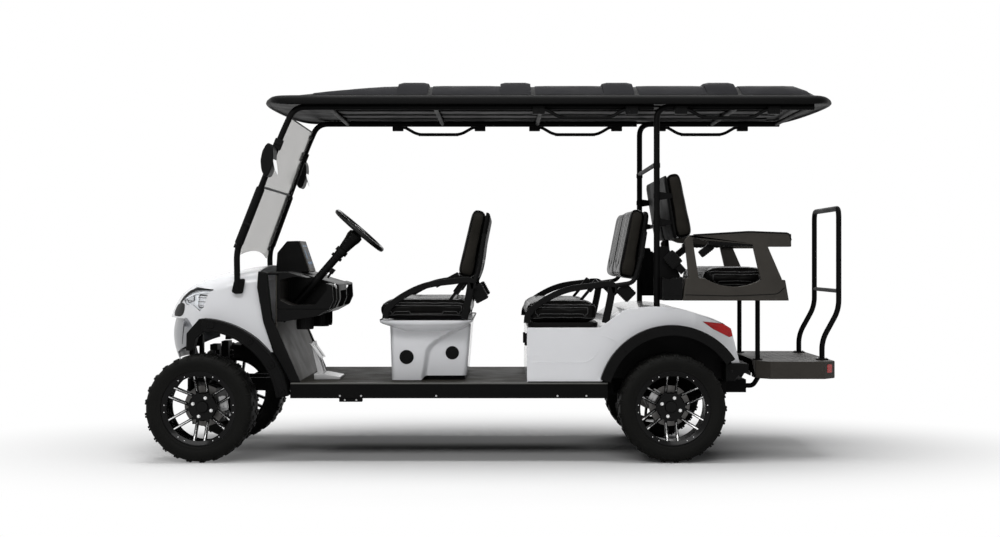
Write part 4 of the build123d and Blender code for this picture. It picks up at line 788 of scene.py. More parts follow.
flare_ribs, flare_bolts = bmesh.new(), bmesh.new()
flare_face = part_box("front_flares")[1].y
for side in (-1, 1):
    for radius, thick in ((0.4580, 0.0035), (0.4130, 0.0030)):
        arc = [around(angle, radius, front_axle_x, axle_z) for angle in range(96, 172, 3)]
        add_tube(flare_ribs, [(x, side * flare_face, z) for x, z in arc], thick, 8)
    for angle in (98, 127, 149, 169):
        x, z = around(angle, 0.436, front_axle_x, axle_z)
        add_stud(flare_ribs, (x, side * flare_face, z), (0, side, 0), 0.0195, 0.0045, 24)
        if angle > 100:
            add_stud(flare_bolts, (x, side * (flare_face + 0.0045), z), (0, side, 0), 0.0085,
                     0.004)
placed("front_flare_ribs", flare_ribs, grained_black)
placed("front_flare_bolts", flare_bolts, powder_black)

# ---- Dashboard ---------------------------------------------------------------------------
# A black moulding with a deep open bay at each end, so that the column passes in front of
# its side wall. A taupe frame holds the display on the sloped face of its pod.

grained_taupe = finish("grained_taupe", (0.044, 0.040, 0.035), 0.5, grain=1200, depth=0.0003,
                       mottle=0.12, specular=0.10)
bay_black = finish("bay_black", (0.020, 0.018, 0.016), 0.45, grain=900, depth=0.0002,
                   specular=0.10)
screen_glass = finish("screen_glass", (0.006, 0.012, 0.026), 0.35, grain=40, depth=0.0,
                      mottle=0.5, specular=0.04)
screen_mark = finish("screen_mark", (0.16, 0.42, 0.75), 0.4, grain=60, depth=0.0, mottle=0.3)

eased("firewall", 0.001, grained_taupe)
dashboard = eased("dashboard", 0.005, grained_black)



def as_shown(piece):
    """The piece with all that its modifiers do to it."""
    bpy.context.view_layer.update()
    return piece.evaluated_get(bpy.context.evaluated_depsgraph_get())


bay_line = [(0.905, 0.835), (0.900, 0.905), (0.920, 0.948), (1.075, 0.962), (1.150, 0.945),
            (1.150, 0.838), (1.095, 0.812), (0.975, 0.812)]
for side, bay_y in ((1, 0.235), (-1, 0.400)):
    bay = bmesh.new()
    corners = rounded([(x, 0, z) for x, z in bay_line + bay_line[:1]], 0.012)[1:-1]
    add_prism(bay, [(p.x, p.z) for p in corners], 0.600 - bay_y,
              side_view(min(side * bay_y, side * 0.600)))
    bmesh.ops.recalc_face_normals(bay, faces=bay.faces)
    bay_mesh = bpy.data.meshes.new("dashboard_bay")
    bay.to_mesh(bay_mesh)
    bay.free()
    bay_mesh.materials.append(bay_black)
    cutter = bpy.data.objects.new("dashboard_bay", bay_mesh)
    scene.collection.objects.link(cutter)
    cut = dashboard.modifiers.new("bay", "BOOLEAN")
    cut.object = cutter
    cut.solver = "EXACT"
    cut.use_hole_tolerant = True
    cut.material_mode = "TRANSFER"
    opened = bpy.data.meshes.new_from_object(as_shown(dashboard))
    dashboard.modifiers.remove(cut)
    dashboard.data = opened
    bpy.data.objects.remove(cutter)
dashboard.data.set_sharp_from_angle(angle=math.radians(35))

display_top, display_foot = Vector((1.107, 0, 1.154)), Vector((1.048, 0, 0.980))
display_run = (display_foot - display_top).normalized()
display_out = Vector((display_run.z, 0, -display_run.x))
display_turn = Matrix((display_run, (0, 1, 0), display_run.cross(Vector((0, 1, 0))))).transposed()


def on_display(form, start, end, half, proud, thick, edge, y=0.0):
    """A flat block on the display's face, between two distances from its top edge."""
    middle = display_top + display_run * (start + end) / 2 + display_out * (proud - thick / 2)
    middle.y = y
    add_box(form, middle, ((end - start) / 2, half, thick / 2), edge, display_turn)


display_frame, display_screen, display_marks = bmesh.new(), bmesh.new(), bmesh.new()
on_display(display_frame, 0.002, 0.180, 0.1295, 0.0065, 0.006, 0.002)
on_display(display_screen, 0.018, 0.160, 0.108, 0.0075, 0.003, 0.0008)
for start, end, half, y in ((0.030, 0.034, 0.080, 0.0), (0.060, 0.100, 0.004, 0.070),
                            (0.052, 0.108, 0.004, 0.050), (0.066, 0.094, 0.004, -0.060),
                            (0.124, 0.138, 0.014, 0.060), (0.124, 0.138, 0.014, 0.0),
                            (0.124, 0.138, 0.014, -0.060)):
    on_display(display_marks, start, end, half, 0.0081, 0.001, 0.0, y)
placed("display_frame", display_frame, grained_taupe)
placed("display_screen", display_screen, screen_glass)
placed("display_marks", display_marks, screen_mark)

# ---- Cup shelf, key and levers -----------------------------------------------------------
# Ribbed cups hang in a shelf under the dashboard. A key and switches sit at its rear edge,
# and a drive lever with a ball grip stands beside them.

eased("cup_shelf", 0.0015, grained_black)
cup_ribs = bmesh.new()
for x, y in ((1.030, 0.440), (1.030, -0.440), (0.990, 0.075), (0.990, -0.075)):
    for k in range(20):
        spot = around(18 * k, 0.0445, x, y)
        add_tube(cup_ribs, [(*spot, 0.690), (*spot, 0.762)], 0.0022, 6)
placed("cup_ribs", cup_ribs, grained_black)
controls, bright_bits = bmesh.new(), bmesh.new()
for y, z, radius, height in ((0.450, 0.915, 0.013, 0.006), (0.400, 0.905, 0.011, 0.005)):
    add_stud(bright_bits, (0.8735, y, z), (-1, 0, 0.15), radius, height, 28, 0.9)
add_block(controls, (0.8715, 0.446, 0.908), (0.8765, 0.454, 0.928), 0.001)
add_tube(controls, [(0.905, 0.488, 0.955), (0.885, 0.488, 0.985)], 0.006, 14)
add_tube(controls, [(0.890, 0.488, 0.978), (0.874, 0.488, 1.002)], [0.011, 0.014], 16)
placed("dash_controls", controls, grained_black)
placed("dash_key_rings", bright_bits, zinc)

# ---- Steering wheel and column -----------------------------------------------------------
# A padded round rim on three spokes, over a shrouded column with a clamped joint, a boot
# and a lock ring. The column leans through the dashboard to the front wheels.

wheel_grip = finish("wheel_grip", (0.004, 0.004, 0.004), 0.35, grain=900, depth=0.0003,
                    specular=0.18)
wheel_centre = Vector((0.757, 0.280, 1.207))
wheel_axis = Vector((-0.65606, 0, 0.75471))
wheel_up = Vector((0.75471, 0, 0.65606))
wheel_side = Vector((0, 1, 0))


def wheel_point(angle, radius, lift=0.0):
    a = math.radians(angle)
    return (wheel_centre + (wheel_up * math.cos(a) + wheel_side * math.sin(a)) * radius
            + wheel_axis * lift)


steering = bmesh.new()
add_tube(steering, [wheel_point(5 * k, 0.1545) for k in range(72)], 0.0132, 18, closed=True)
for angle in (75, 180, 285):
    for shift in (-9, 9):
        line = [wheel_point(angle + shift * 1.5, 0.026, -0.004),
                wheel_point(angle + shift, 0.075, -0.010),
                wheel_point(angle + shift * 0.55, 0.150)]
        add_tube(steering, rounded(line, 0.03), [0.0085] * 2 + [0.0080] * 7 + [0.0075], 12)
add_tube(steering, [wheel_centre + wheel_axis * t for t in (-0.015, -0.012, 0.006, 0.013, 0.015)],
         [0.030, 0.034, 0.034, 0.028, 0.016], 36)
wheel_body = frame["nodes"]["steering_wheel"]["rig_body"]
wheel_piece = placed("steering_wheel_rim", steering, wheel_grip, wheel_body, 50)
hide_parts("steering_wheel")

column = bmesh.new()
column_runs = [
    # distance down from the wheel, radius
    (0.0175, 0.026), (0.030, 0.041), (0.052, 0.042), (0.075, 0.036), (0.118, 0.030),
    (0.135, 0.027), (0.136, 0.034), (0.160, 0.035), (0.161, 0.026), (0.180, 0.025),
    (0.181, 0.032), (0.196, 0.032), (0.197, 0.022), (0.640, 0.0215),
]
add_tube(column, [wheel_centre - wheel_axis * d for d, r in column_runs],
         [r for d, r in column_runs], 28)
stalk = wheel_centre - wheel_axis * 0.062
add_tube(column, rounded([stalk, stalk + Vector((-0.010, -0.060, 0.010)),
                          stalk + Vector((-0.020, -0.125, 0.030))], 0.03), 0.0055, 12)
column_piece = placed("steering_column_shroud", column, grained_black, sharp=28)
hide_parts("steering_column")

# ---- Pedals ------------------------------------------------------------------------------
# Two cast pedals, zinc plated, hinged in a base that is bolted to the floor. Their plates
# are ribbed for grip.

eased("pedals", 0.0015, zinc)

# ---- Front seat base ---------------------------------------------------------------------
# A white rotational moulding whose forward half stands proud behind an S-shaped step. Its
# flared rim carries the cushion on a black rubber lip, and two round vents open each side.

pod_low, pod_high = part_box("front_seat_pod")
rim_half = pod_high.y
pod_half, pod_narrow = 0.430, 0.397
pod_floor = pod_low.z + 0.0003
step_line = [(0.405, 0.410), (0.400, 0.450), (0.391, 0.510), (0.381, 0.572), (0.364, 0.595),
             (0.332, 0.621), (0.292, 0.644), (0.252, 0.664), (0.200, 0.687), (0.150, 0.710)]
rim_line = [(0.640, 0.700), (0.587, 0.686), (0.530, 0.673), (0.420, 0.668), (0.340, 0.670),
            (0.240, 0.677), (0.190, 0.690), (0.150, 0.712)]


def plan_ring(front, nose, rear, tail, half, corner):
    """Points around a plan with round corners, whose two ends may be bowed to a tip."""
    def bowed(x, tip, y):
        return Vector((x + (tip - x) * (1 - (y / half) ** 2), y))

    def turned(start, vertex, end):
        return [start.lerp(vertex, t).lerp(vertex.lerp(end, t), t)
                for t in (k / 7 for k in range(1, 7))]

    ends = [-(half - corner) + 2 * (half - corner) * k / 18 for k in range(19)]
    sides = [k / 44 for k in range(45)]
    ring = [Vector((front - corner + (rear - front + 2 * corner) * t, half)) for t in sides]
    tail_bow = [bowed(rear, tail, y) for y in ends[::-1]]
    ring += turned(ring[-1], Vector((rear, half)), tail_bow[0]) + tail_bow
    right = [Vector((rear + corner + (front - rear - 2 * corner) * t, -half)) for t in sides]
    ring += turned(tail_bow[-1], Vector((rear, -half)), right[0]) + right
    nose_bow = [bowed(front, nose, y) for y in ends]
    ring += turned(right[-1], Vector((front, -half)), nose_bow[0]) + nose_bow
    return ring + turned(nose_bow[-1], Vector((front, half)), ring[0])


def skinned(form, rings):
    """Closes a run of like rings into a skin, with a flat face at each end."""
    for low, high in zip(rings, rings[1:]):
        for k in range(len(low)):
            j = (k + 1) % len(low)
            form.faces.new((low[k], low[j], high[j], high[k]))
    form.faces.new(rings[0][::-1])
    form.faces.new(rings[-1])


def along(line, value, index):
    """Reads the other column of a run of (x, z) points at a value of one column."""
    other = 1 - index
    for a, b in zip(line, line[1:]):
        low, high = sorted((a[index], b[index]))
        if low <= value <= high:
            return a[other] + (b[other] - a[other]) * (value - a[index]) / (b[index] - a[index])
    ends = sorted((line[0], line[-1]), key=lambda p: abs(p[index] - value))
    return ends[0][other]


def pod_ring(form, level):
    """One ring of the seat base: levels 0 to 1 are its walls, and above 1 its rim."""
    ring = []
    for p in plan_ring(1.0, 1.0, 0.0, 0.0, 1.0, 0.09):
        rim_x = pod_low.x + (pod_high.x - pod_low.x) * p.x
        low_z = along(rim_line, rim_x, 0)
        z = pod_floor + (low_z - pod_floor) * min(level, 1.0)
        front = 0.5740 + (z - pod_floor) * 0.035
        rear = 0.1770 - (z - pod_floor) * 0.08
        x = rear + (front - rear) * p.x
        share = min(1.0, max(0.0, (x - along(step_line, z, 1) + 0.013) / 0.026))
        share = share * share * (3 - 2 * share)
        y = (pod_narrow + (pod_half - pod_narrow) * share) * p.y
        z += 0.022 * (1 - share) * (1 - min(level, 1.0)) ** 3
        if level > 1:
            out = min(1.0, (level - 1) * 1.25)
            bulge = math.sin(out * math.pi / 2)
            x += (rim_x - x) * bulge
            y += (rim_half * p.y - y) * bulge
            z = low_z + (pod_high.z - 0.004 - low_z) * (level - 1)
        ring.append(form.verts.new((x, y, z)))
    return ring


pod = bmesh.new()
pod_levels = [k / 26 for k in range(27)] + [1.04, 1.12, 1.25, 1.40, 1.56, 1.72, 1.86, 1.95, 2.0]
pod_rings = [pod_ring(pod, level) for level in pod_levels]
skinned(pod, pod_rings)
pod_piece = placed("front_seat_base", pod, gloss_white, sharp=50)
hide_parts("front_seat_pod")

pod_trim = bmesh.new()
lip = plan_ring(pod_high.x - 0.003, pod_high.x - 0.003, pod_low.x + 0.003, pod_low.x + 0.003,
                rim_half - 0.003, 0.045)
add_tube(pod_trim, [(p.x, p.y, pod_high.z - 0.0035) for p in lip], 0.0034, 10, closed=True)
for side in (-1, 1):
    for x, z, radius, face in ((0.494, 0.5345, 0.0385, pod_half),
                               (0.253, 0.5550, 0.0365, pod_narrow)):
        out = (0, side, 0)
        add_stud(pod_trim, (x, side * (face - 0.004), z), out, radius, 0.0065, 48, 0.97)
        add_stud(pod_trim, (x, side * (face + 0.0025), z), out, radius * 0.78, 0.0016, 48, 0.98)
placed("front_seat_base_trim", pod_trim, grained_black)
plinth = bmesh.new()
add_block(plinth, (0.186, -0.372, pod_floor), (0.388, 0.372, pod_floor + 0.030), 0.003)
placed("front_seat_plinth", plinth, grained_black)

# ---- Bench cushions ----------------------------------------------------------------------
# Foam on boards, under black leatherette that is sewn into channels, piped along its seams
# and stapled underneath. The middle one lifts with its board.

eased("middle_seat_board", 0.002, grained_black)


def leather_finish(name, dark, light, gloss):
    """Leatherette: a pebbled grain, soft creases and a satin sheen."""
    material = bpy.data.materials.new(name)
    material.use_nodes = True
    tree = material.node_tree
    spot = wired(tree, "TexCoord", output="Object")
    pebbles = wired(tree, "TexVoronoi", {"Scale": 520.0, "Vector": spot}, "Distance")
    creases = wired(tree, "TexNoise", {"Scale": 9.0, "Detail": 6.0, "Vector": spot}, "Fac")
    polish = wired(tree, "MapRange", {"Value": creases, "To Min": gloss * 0.8,
                                      "To Max": gloss * 1.25})
    fine = wired(tree, "Bump", {"Strength": 0.04, "Distance": 0.0003, "Height": pebbles})
    wide = wired(tree, "Bump", {"Strength": 0.08, "Distance": 0.002, "Height": creases,
                                "Normal": fine})
    feed(tree, tree.nodes["Principled BSDF"], {
        "Base Color": blended(tree, creases, 0.3, dark, 0.75, light), "Roughness": polish,
        "Normal": wide, "Specular IOR Level": 0.03})
    return material


leatherette = leather_finish("black_leatherette", (0.003, 0.003, 0.003), (0.006, 0.0055, 0.005),
                             0.26)
# A lighter copy of the black leatherette, whose colour paints the sheen on the backs' end faces.
sheen_painted_leather = leather_finish("sheen_painted_leatherette", (0.013, 0.012, 0.010), (0.022, 0.020, 0.017),
                               0.42)
piping = finish("piping", (0.010, 0.010, 0.010), 0.30, grain=900, depth=0.0001, specular=0.4)


def rounded_pad(size, corner, edge):
    """A closed pad about the origin, (length, width, height), with round corners and edges."""
    form = bmesh.new()
    length, width, height = size
    outline = []
    for cx, cy, start in ((1, 1, 0), (-1, 1, 90), (-1, -1, 180), (1, -1, 270)):
        outline += [around(start + 15 * k, corner, cx * (length / 2 - corner),
                           cy * (width / 2 - corner)) for k in range(7)]
    add_prism(form, outline, height, Matrix.Translation((0, 0, -height / 2)))
    rims = [e for e in form.edges if abs(e.verts[0].co.z - e.verts[1].co.z) < 1e-6]
    bmesh.ops.bevel(form, geom=rims, offset=edge, segments=4, profile=0.5, affect="EDGES",
                    clamp_overlap=True)
    return form


blow_up_frames, smoothing_passes = 20, 14


def stuffed(name, form, cap, pressure=4.0, voxel=0.006):
    """Foam and cover: the pad is remeshed, blown up as cloth, and held to its real room."""
    mesh = bpy.data.meshes.new(name)
    bmesh.ops.recalc_face_normals(form, faces=form.faces)
    form.to_mesh(mesh)
    form.free()
    pad = bpy.data.objects.new(name, mesh)
    scene.collection.objects.link(pad)
    remesh = pad.modifiers.new("remesh", "REMESH")
    remesh.mode = "VOXEL"
    remesh.voxel_size = voxel
    remesh.use_smooth_shade = True
    shaped = bpy.data.meshes.new_from_object(as_shown(pad))
    pad.modifiers.clear()
    pad.data = shaped
    start = [v.co.copy() for v in shaped.vertices]
    cloth = pad.modifiers.new("cloth", "CLOTH")
    held = cloth.settings
    held.use_pressure = True
    held.uniform_pressure_force = pressure
    held.tension_stiffness = held.compression_stiffness = 25
    held.bending_stiffness = 4
    held.mass = 0.25
    held.effector_weights.gravity = 0
    cloth.point_cache.frame_start = 1
    cloth.point_cache.frame_end = blow_up_frames
    for number in range(1, blow_up_frames + 1):
        scene.frame_set(number)
    moved = [v.co.copy() for v in as_shown(pad).data.vertices]
    pad.modifiers.clear()
    for vertex, old, new in zip(shaped.vertices, start, moved):
        shift = new - old
        if shift.length > cap:
            shift *= cap / shift.length
        vertex.co = old + shift
    scene.frame_set(1)
    settled = bmesh.new()
    settled.from_mesh(shaped)
    for _ in range(smoothing_passes):
        bmesh.ops.smooth_vert(settled, verts=settled.verts, factor=0.5, use_axis_x=True,
                              use_axis_y=True, use_axis_z=True)
    settled.to_mesh(shaped)
    settled.free()
    return pad


def sewn(distance, width=0.007):
    """How deep a sewn channel pulls the cover in at a distance from its stitch line."""
    return math.exp(-(distance / width) ** 2)


def covered(pad, body):
    """Gives a shaped pad its black leather, and a lighter copy whose colour paints a sheen on the
    faces that take it.
    """
    pad.data.materials.clear()
    pad.data.materials.append(leatherette)
    pad.data.materials.append(sheen_painted_leather)
    pad.data.shade_smooth()
    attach(pad, body)


def cushion_pad(name, node, body, corner=0.040, swell=0.010):
    """A bench cushion in its node's room: crowned and channelled on top, flat underneath."""
    low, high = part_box(node)
    size = high - low
    form = rounded_pad((size.x - 2 * swell, size.y - 2 * swell, size.z - swell * 1.4), corner,
                       0.024)
    pad = stuffed(name, form, swell * 1.8)
    middle = (low + high) / 2
    mesh = pad.data
    heights = [v.co.z for v in mesh.vertices]
    lowest, highest = min(heights), max(heights)
    reach_x, reach_y = (max(abs(v.co[i]) for v in mesh.vertices) for i in (0, 1))
    panel_x, panel_y = size.x / 2 - 0.075, size.y / 2 - 0.085
    for v in mesh.vertices:
        t = (v.co.z - lowest) / (highest - lowest)
        x = v.co.x / reach_x * (size.x / 2 - 0.0015)
        y = v.co.y / reach_y * (size.y / 2 - 0.0015)
        z = low.z + 0.0006 + max(0.0, t - 0.02) / 0.98 * (size.z - 0.001)
        if t > 0.6:
            z -= 0.010 * max(0.0, (abs(x) / (size.x / 2)) ** 6)
            border = max(abs(x) - panel_x, abs(y) - panel_y)
            dip = 0.008 * sewn(border)
            if border < 0:
                dip = max(dip, 0.006 * sewn(y, 0.008), 0.004 * sewn(x - size.x * 0.12))
                z += 0.0015
            z -= dip
        if 0.2 < t < 0.92 and abs(y) > size.y / 2 - 0.03 and abs(x) < size.x / 2 - 0.045:
            pull = 0.0075 * sewn(t - 0.34, 0.055) + 0.0055 * sewn(t - 0.74, 0.05)
            y -= math.copysign(pull, y)
        v.co = middle + Vector((x, y, z - middle.z))
    covered(pad, body)
    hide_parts(node)
    seams = bmesh.new()
    cover = BVHTree.FromPolygons([v.co for v in mesh.vertices],
                                 [p.vertices for p in mesh.polygons])
    lines = [([(p.x, p.y, size.z * height) for p in
               plan_ring(size.x / 2, size.x / 2, -size.x / 2, -size.x / 2, size.y / 2, corner)],
              0.0024) for height in (0.10, 0.88)]
    loop_x = size.x / 2 - 0.050
    loop = plan_ring(loop_x, loop_x, -loop_x, -loop_x, size.z * 0.235, 0.018)
    lines += [([(p.x, side * size.y / 2, size.z * 0.53 + p.y) for p in loop], 0.0028)
              for side in (-1, 1)]
    for line, radius in lines:
        add_tube(seams, [cover.find_nearest(Vector((middle.x, middle.y, low.z)) + Vector(spot))[0]
                         for spot in line], radius, 8, closed=True)
    placed(name + "_piping", seams, piping, body, 60)


cushion_pad("front_bench_cushion", "front_seat_cushion", "chassis")
cushion_pad("middle_bench_cushion", "middle_seat_cushion", "middle_seat_lid")
cushion_pad("rear_bench_cushion", "rear_seat_cushion", "chassis", swell=0.009)

# ---- Padded backs ------------------------------------------------------------------------
# Each back is a stuffed cover over foam, sewn into channels over a pointed lower panel, on
# a chamfered black moulding. One cover is made, and all six backs are bent from it.

back_rows = [
    # node, foot and head of the padded face (x, z), the way it faces, depth of its moulding
    ("front_seat_backs", (0.2260, 0.968), (0.1420, 1.320), 1, 0.026),
    ("middle_seat_backs", (-0.6180, 0.962), (-0.6900, 1.322), 1, 0.026),
    ("rear_seat_backs", (-1.0180, 1.176), (-0.9470, 1.511), -1, 0.017),
]
foot_thick, head_thick = 0.090, 0.075
back_middle, back_half = 0.2615, 0.2515
pattern = stuffed("back_pattern", rounded_pad((0.338, 0.489, 0.074), 0.036, 0.012), 0.011)
pattern_mesh = pattern.data
bpy.data.objects.remove(pattern)
pattern_reach = [max(abs(v.co[i]) for v in pattern_mesh.vertices) for i in range(3)]
satin_black = finish("satin_black", (0.005, 0.005, 0.005), 0.5, grain=700, depth=0.0001,
                     specular=0.03)
back_covers = bmesh.new()
for node, foot, head, facing, cover in back_rows:
    foot, head = Vector((foot[0], 0, foot[1])), Vector((head[0], 0, head[1]))
    up = (head - foot).normalized()
    length = (head - foot).length
    away = Vector((-facing * up.z, 0, facing * up.x))
    for side_name, side in (("left", 1), ("right", -1)):
        mesh = pattern_mesh.copy()
        mesh.name = f"{node}_{side_name}"
        for v in mesh.vertices:
            rise = v.co.x / pattern_reach[0] * 0.5 + 0.5
            across = v.co.y / pattern_reach[1]
            deep = v.co.z / pattern_reach[2] * 0.5 + 0.5
            thick = foot_thick + (head_thick - foot_thick) * rise
            dent = 0.0
            if deep < 0.35:
                point = abs(rise - 0.12 - 0.22 * abs(across)) if abs(across) < 0.56 else 1.0
                channel = abs(abs(across) - 0.56) * 0.24 if rise > 0.24 else 1.0
                inner = (abs(across) - 0.24) * 0.24 if rise > 0.18 else 1.0
                dent = 0.0085 * max(sewn(point * length, 0.008), sewn(channel, 0.006),
                                    0.8 * sewn(inner, 0.006))
            v.co = (foot + up * (rise * length) + away * (0.0015 + deep * thick + dent)
                    + Vector((0, side * (back_middle + across * back_half), 0)))
        back = bpy.data.objects.new(f"{node}_pad_{side_name}", mesh)
        scene.collection.objects.link(back)
        covered(back, "chassis")
        # The end faces of each back take the lighter leather: a painted sheen.
        for face in mesh.polygons:
            if abs(face.normal.y) > 0.8:
                face.material_index = 1
        if side > 0:
            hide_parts(node)
        rings = []
        for deep, inset in ((-0.012, 0.006), (0.0, 0.003), (0.45, 0.003), (0.72, 0.008),
                            (0.93, 0.019), (1.0, 0.030)):
            plan = plan_ring(length - inset, length - inset, inset, inset, back_half - inset, 0.034)
            ring = []
            for p in plan:
                thick = foot_thick + (head_thick - foot_thick) * p.x / length
                spot = foot + up * p.x + away * (thick + deep * cover)
                ring.append(back_covers.verts.new(spot + Vector((0, side * back_middle + p.y, 0))))
            rings.append(ring)
        skinned(back_covers, rings)
placed("back_shells", back_covers, satin_black, sharp=30)

# ---- Arm rails and belts -----------------------------------------------------------------
# Flat moulded arms over steel, one at each end of the two front rows, with tubes behind them
# that carry the backs. Ribbed belt reels hang there, and buckles stand beside the cushions.


def flat_bar(form, line, height, low_y, high_y, edge=0.004):
    """A bar of constant height in side view, swept along (x, z) points, with eased corners."""
    points = [Vector((x, 0, z)) for x, z in line]
    half = height / 2
    section = [(-half + edge, low_y), (half - edge, low_y), (half, low_y + edge),
               (half, high_y - edge), (half - edge, high_y), (-half + edge, high_y),
               (-half, high_y - edge), (-half, low_y + edge)]
    rings = []
    for i, point in enumerate(points):
        ahead = points[min(i + 1, len(points) - 1)] - points[max(i - 1, 0)]
        across = Vector((-ahead.z, 0, ahead.x)).normalized()
        rings.append([form.verts.new(point + across * lift + Vector((0, y, 0)))
                      for lift, y in section])
    skinned(form, rings)


def flat_line(points, bend):
    """The (x, z) points of a bar with its corners turned into arcs."""
    return [(p.x, p.z) for p in rounded([(x, 0, z) for x, z in points], bend)]


arm_shape = [(0.596, 0.742), (0.592, 0.785), (0.556, 0.826), (0.505, 0.861), (0.446, 0.893),
             (0.386, 0.916), (0.320, 0.929), (0.236, 0.938), (0.186, 0.946), (0.146, 0.944),
             (0.136, 0.900)]
leg_shape = [(0.150, 0.930), (0.160, 0.862), (0.186, 0.742)]
seat_arms = [
    # node it stands for, shift of the arm (x, z), uprights behind the backs (x, z)
    ("front_seat_rails", (0.0, 0.0), [(0.142, 0.915), (0.112, 0.985), (0.1000, 1.042),
                                      (0.0820, 1.176)]),
    ("middle_seat_rails", (-0.737, -0.022), [(-0.598, 0.915), (-0.700, 0.930), (-0.7371, 1.056),
                                             (-0.7578, 1.190)]),
]
arm_low, arm_high, upright_y = 0.5425, 0.5680, 0.5550
for node, (dx, dz), uprights in seat_arms:
    arms = bmesh.new()
    for side in (-1, 1):
        low, high = sorted((side * arm_low, side * arm_high))
        for shape, height in ((arm_shape, 0.033), (leg_shape, 0.038)):
            line = [(x + dx, z + dz) for x, z in shape]
            flat_bar(arms, flat_line(line, 0.030), height, low, high)
        line = [(x, side * upright_y, z) for x, z in uprights]
        add_tube(arms, rounded(line, 0.035), 0.0118, 16)
    for x, z in uprights[-2:]:
        add_tube(arms, [(x, -upright_y, z), (x, upright_y, z)], 0.0118, 16)
    piece = placed(node + "_arms", arms, grained_black, sharp=40)
    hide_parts(node)

belt_boxes = bmesh.new()
for x, z, lean in ((0.108, 0.872, 28), (-0.661, 0.880, 45)):
    turn = Matrix.Rotation(math.radians(lean), 3, "Y")
    for side in (-1, 1):
        middle = Vector((x, side * 0.512, z))
        add_box(belt_boxes, middle, (0.034, 0.024, 0.042), 0.006, turn)
        for k in range(7):
            add_box(belt_boxes, middle + turn @ Vector((0, 0, -0.033 + 0.011 * k)),
                    (0.0365, 0.0265, 0.0028), 0.0012, turn)
placed("belt_reels", belt_boxes, grained_black)
buckle_rows = [
    # row, its body, distance from the middle, then each buckle's (x, z) and lean
    ("front", "chassis", 0.505, ((0.246, 0.956, 62), (0.213, 0.905, 35))),
    ("middle", "middle_seat_lid", 0.420, ((-0.494, 0.912, 40),)),
]
for row, body, reach, spots in buckle_rows:
    buckles, mouths = bmesh.new(), bmesh.new()
    for x, z, lean in spots:
        turn = Matrix.Rotation(math.radians(-lean), 3, "Y")
        up = turn @ Vector((0, 0, 1))
        for side in (-1, 1):
            middle = Vector((x, side * reach, z))
            add_box(buckles, middle, (0.015, 0.011, 0.036), 0.004, turn)
            add_box(buckles, middle - up * 0.060, (0.008, 0.0035, 0.040), 0.002, turn)
            add_box(mouths, middle + up * 0.0335, (0.009, 0.0075, 0.004), 0.001, turn)
    placed(f"{row}_belt_buckles", buckles, grained_black, body)
    placed(f"{row}_buckle_mouths", mouths, zinc, body)

# ---- Rear pillars and back frame ---------------------------------------------------------
# Round steel tubes bent back under the roof, with cross tubes and side plates that carry
# the rear backs. A welded beam ties their feet to the chassis.

pillar_x, pillar_y, rail_z = -0.824, 0.505, 1.8517
rear_pillars = bmesh.new()
for side in (-1, 1):
    y = side * pillar_y
    line = [(pillar_x, y, 0.731), (pillar_x, y, rail_z), (-1.650, y, rail_z)]
    add_tube(rear_pillars, rounded(line, 0.070), 0.016, 20)
    for z, end_x in ((1.245, -0.895), (1.385, -0.905)):
        plate = [(-0.822, z - 0.024), (-0.822, z + 0.024), (end_x, z + 0.012),
                 (end_x, z - 0.012)]
        add_prism(rear_pillars, plate, 0.012, side_view(min(side * 0.499, side * 0.511)), 0.0015)
    cheek = [(pillar_x, 1.120), (-0.884, 1.120), (-0.9487, 0.960), (-0.9487, 0.838),
             (pillar_x, 0.838)]
    add_prism(rear_pillars, cheek, 0.010, side_view(min(side * 0.500, side * 0.510)), 0.002)
    add_block(rear_pillars, (pillar_x - 0.020, side * 0.230, 0.4043),
              (pillar_x + 0.020, side * 0.270, 0.731), 0.003)
    for z in (1.545, 1.245, 1.385, 0.745):
        add_tube(rear_pillars, [(pillar_x, y, z - 0.012), (pillar_x, y, z + 0.012)], 0.0185, 24)
for x, z in ((pillar_x, 1.554), (-1.250, rail_z), (-1.630, rail_z), (-0.893, 1.245),
             (-0.903, 1.385)):
    add_tube(rear_pillars, [(x, -pillar_y, z), (x, pillar_y, z)], 0.012, 18)
add_block(rear_pillars, (pillar_x - 0.020, -0.521, 0.711), (pillar_x + 0.020, 0.521, 0.751),
          0.003)
pillar_piece = placed("rear_pillar_frame", rear_pillars, powder_black)
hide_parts("rear_frame")

# ---- Rear seat tub -----------------------------------------------------------------------
# A taupe moulded tub with open sides and ribbed black arm rests, on two posts. A black bin
# with a wavy lid stands in front of it at each side, and belt reels hang on its frame.

eased("rear_seat_tub", 0.004, grained_taupe)

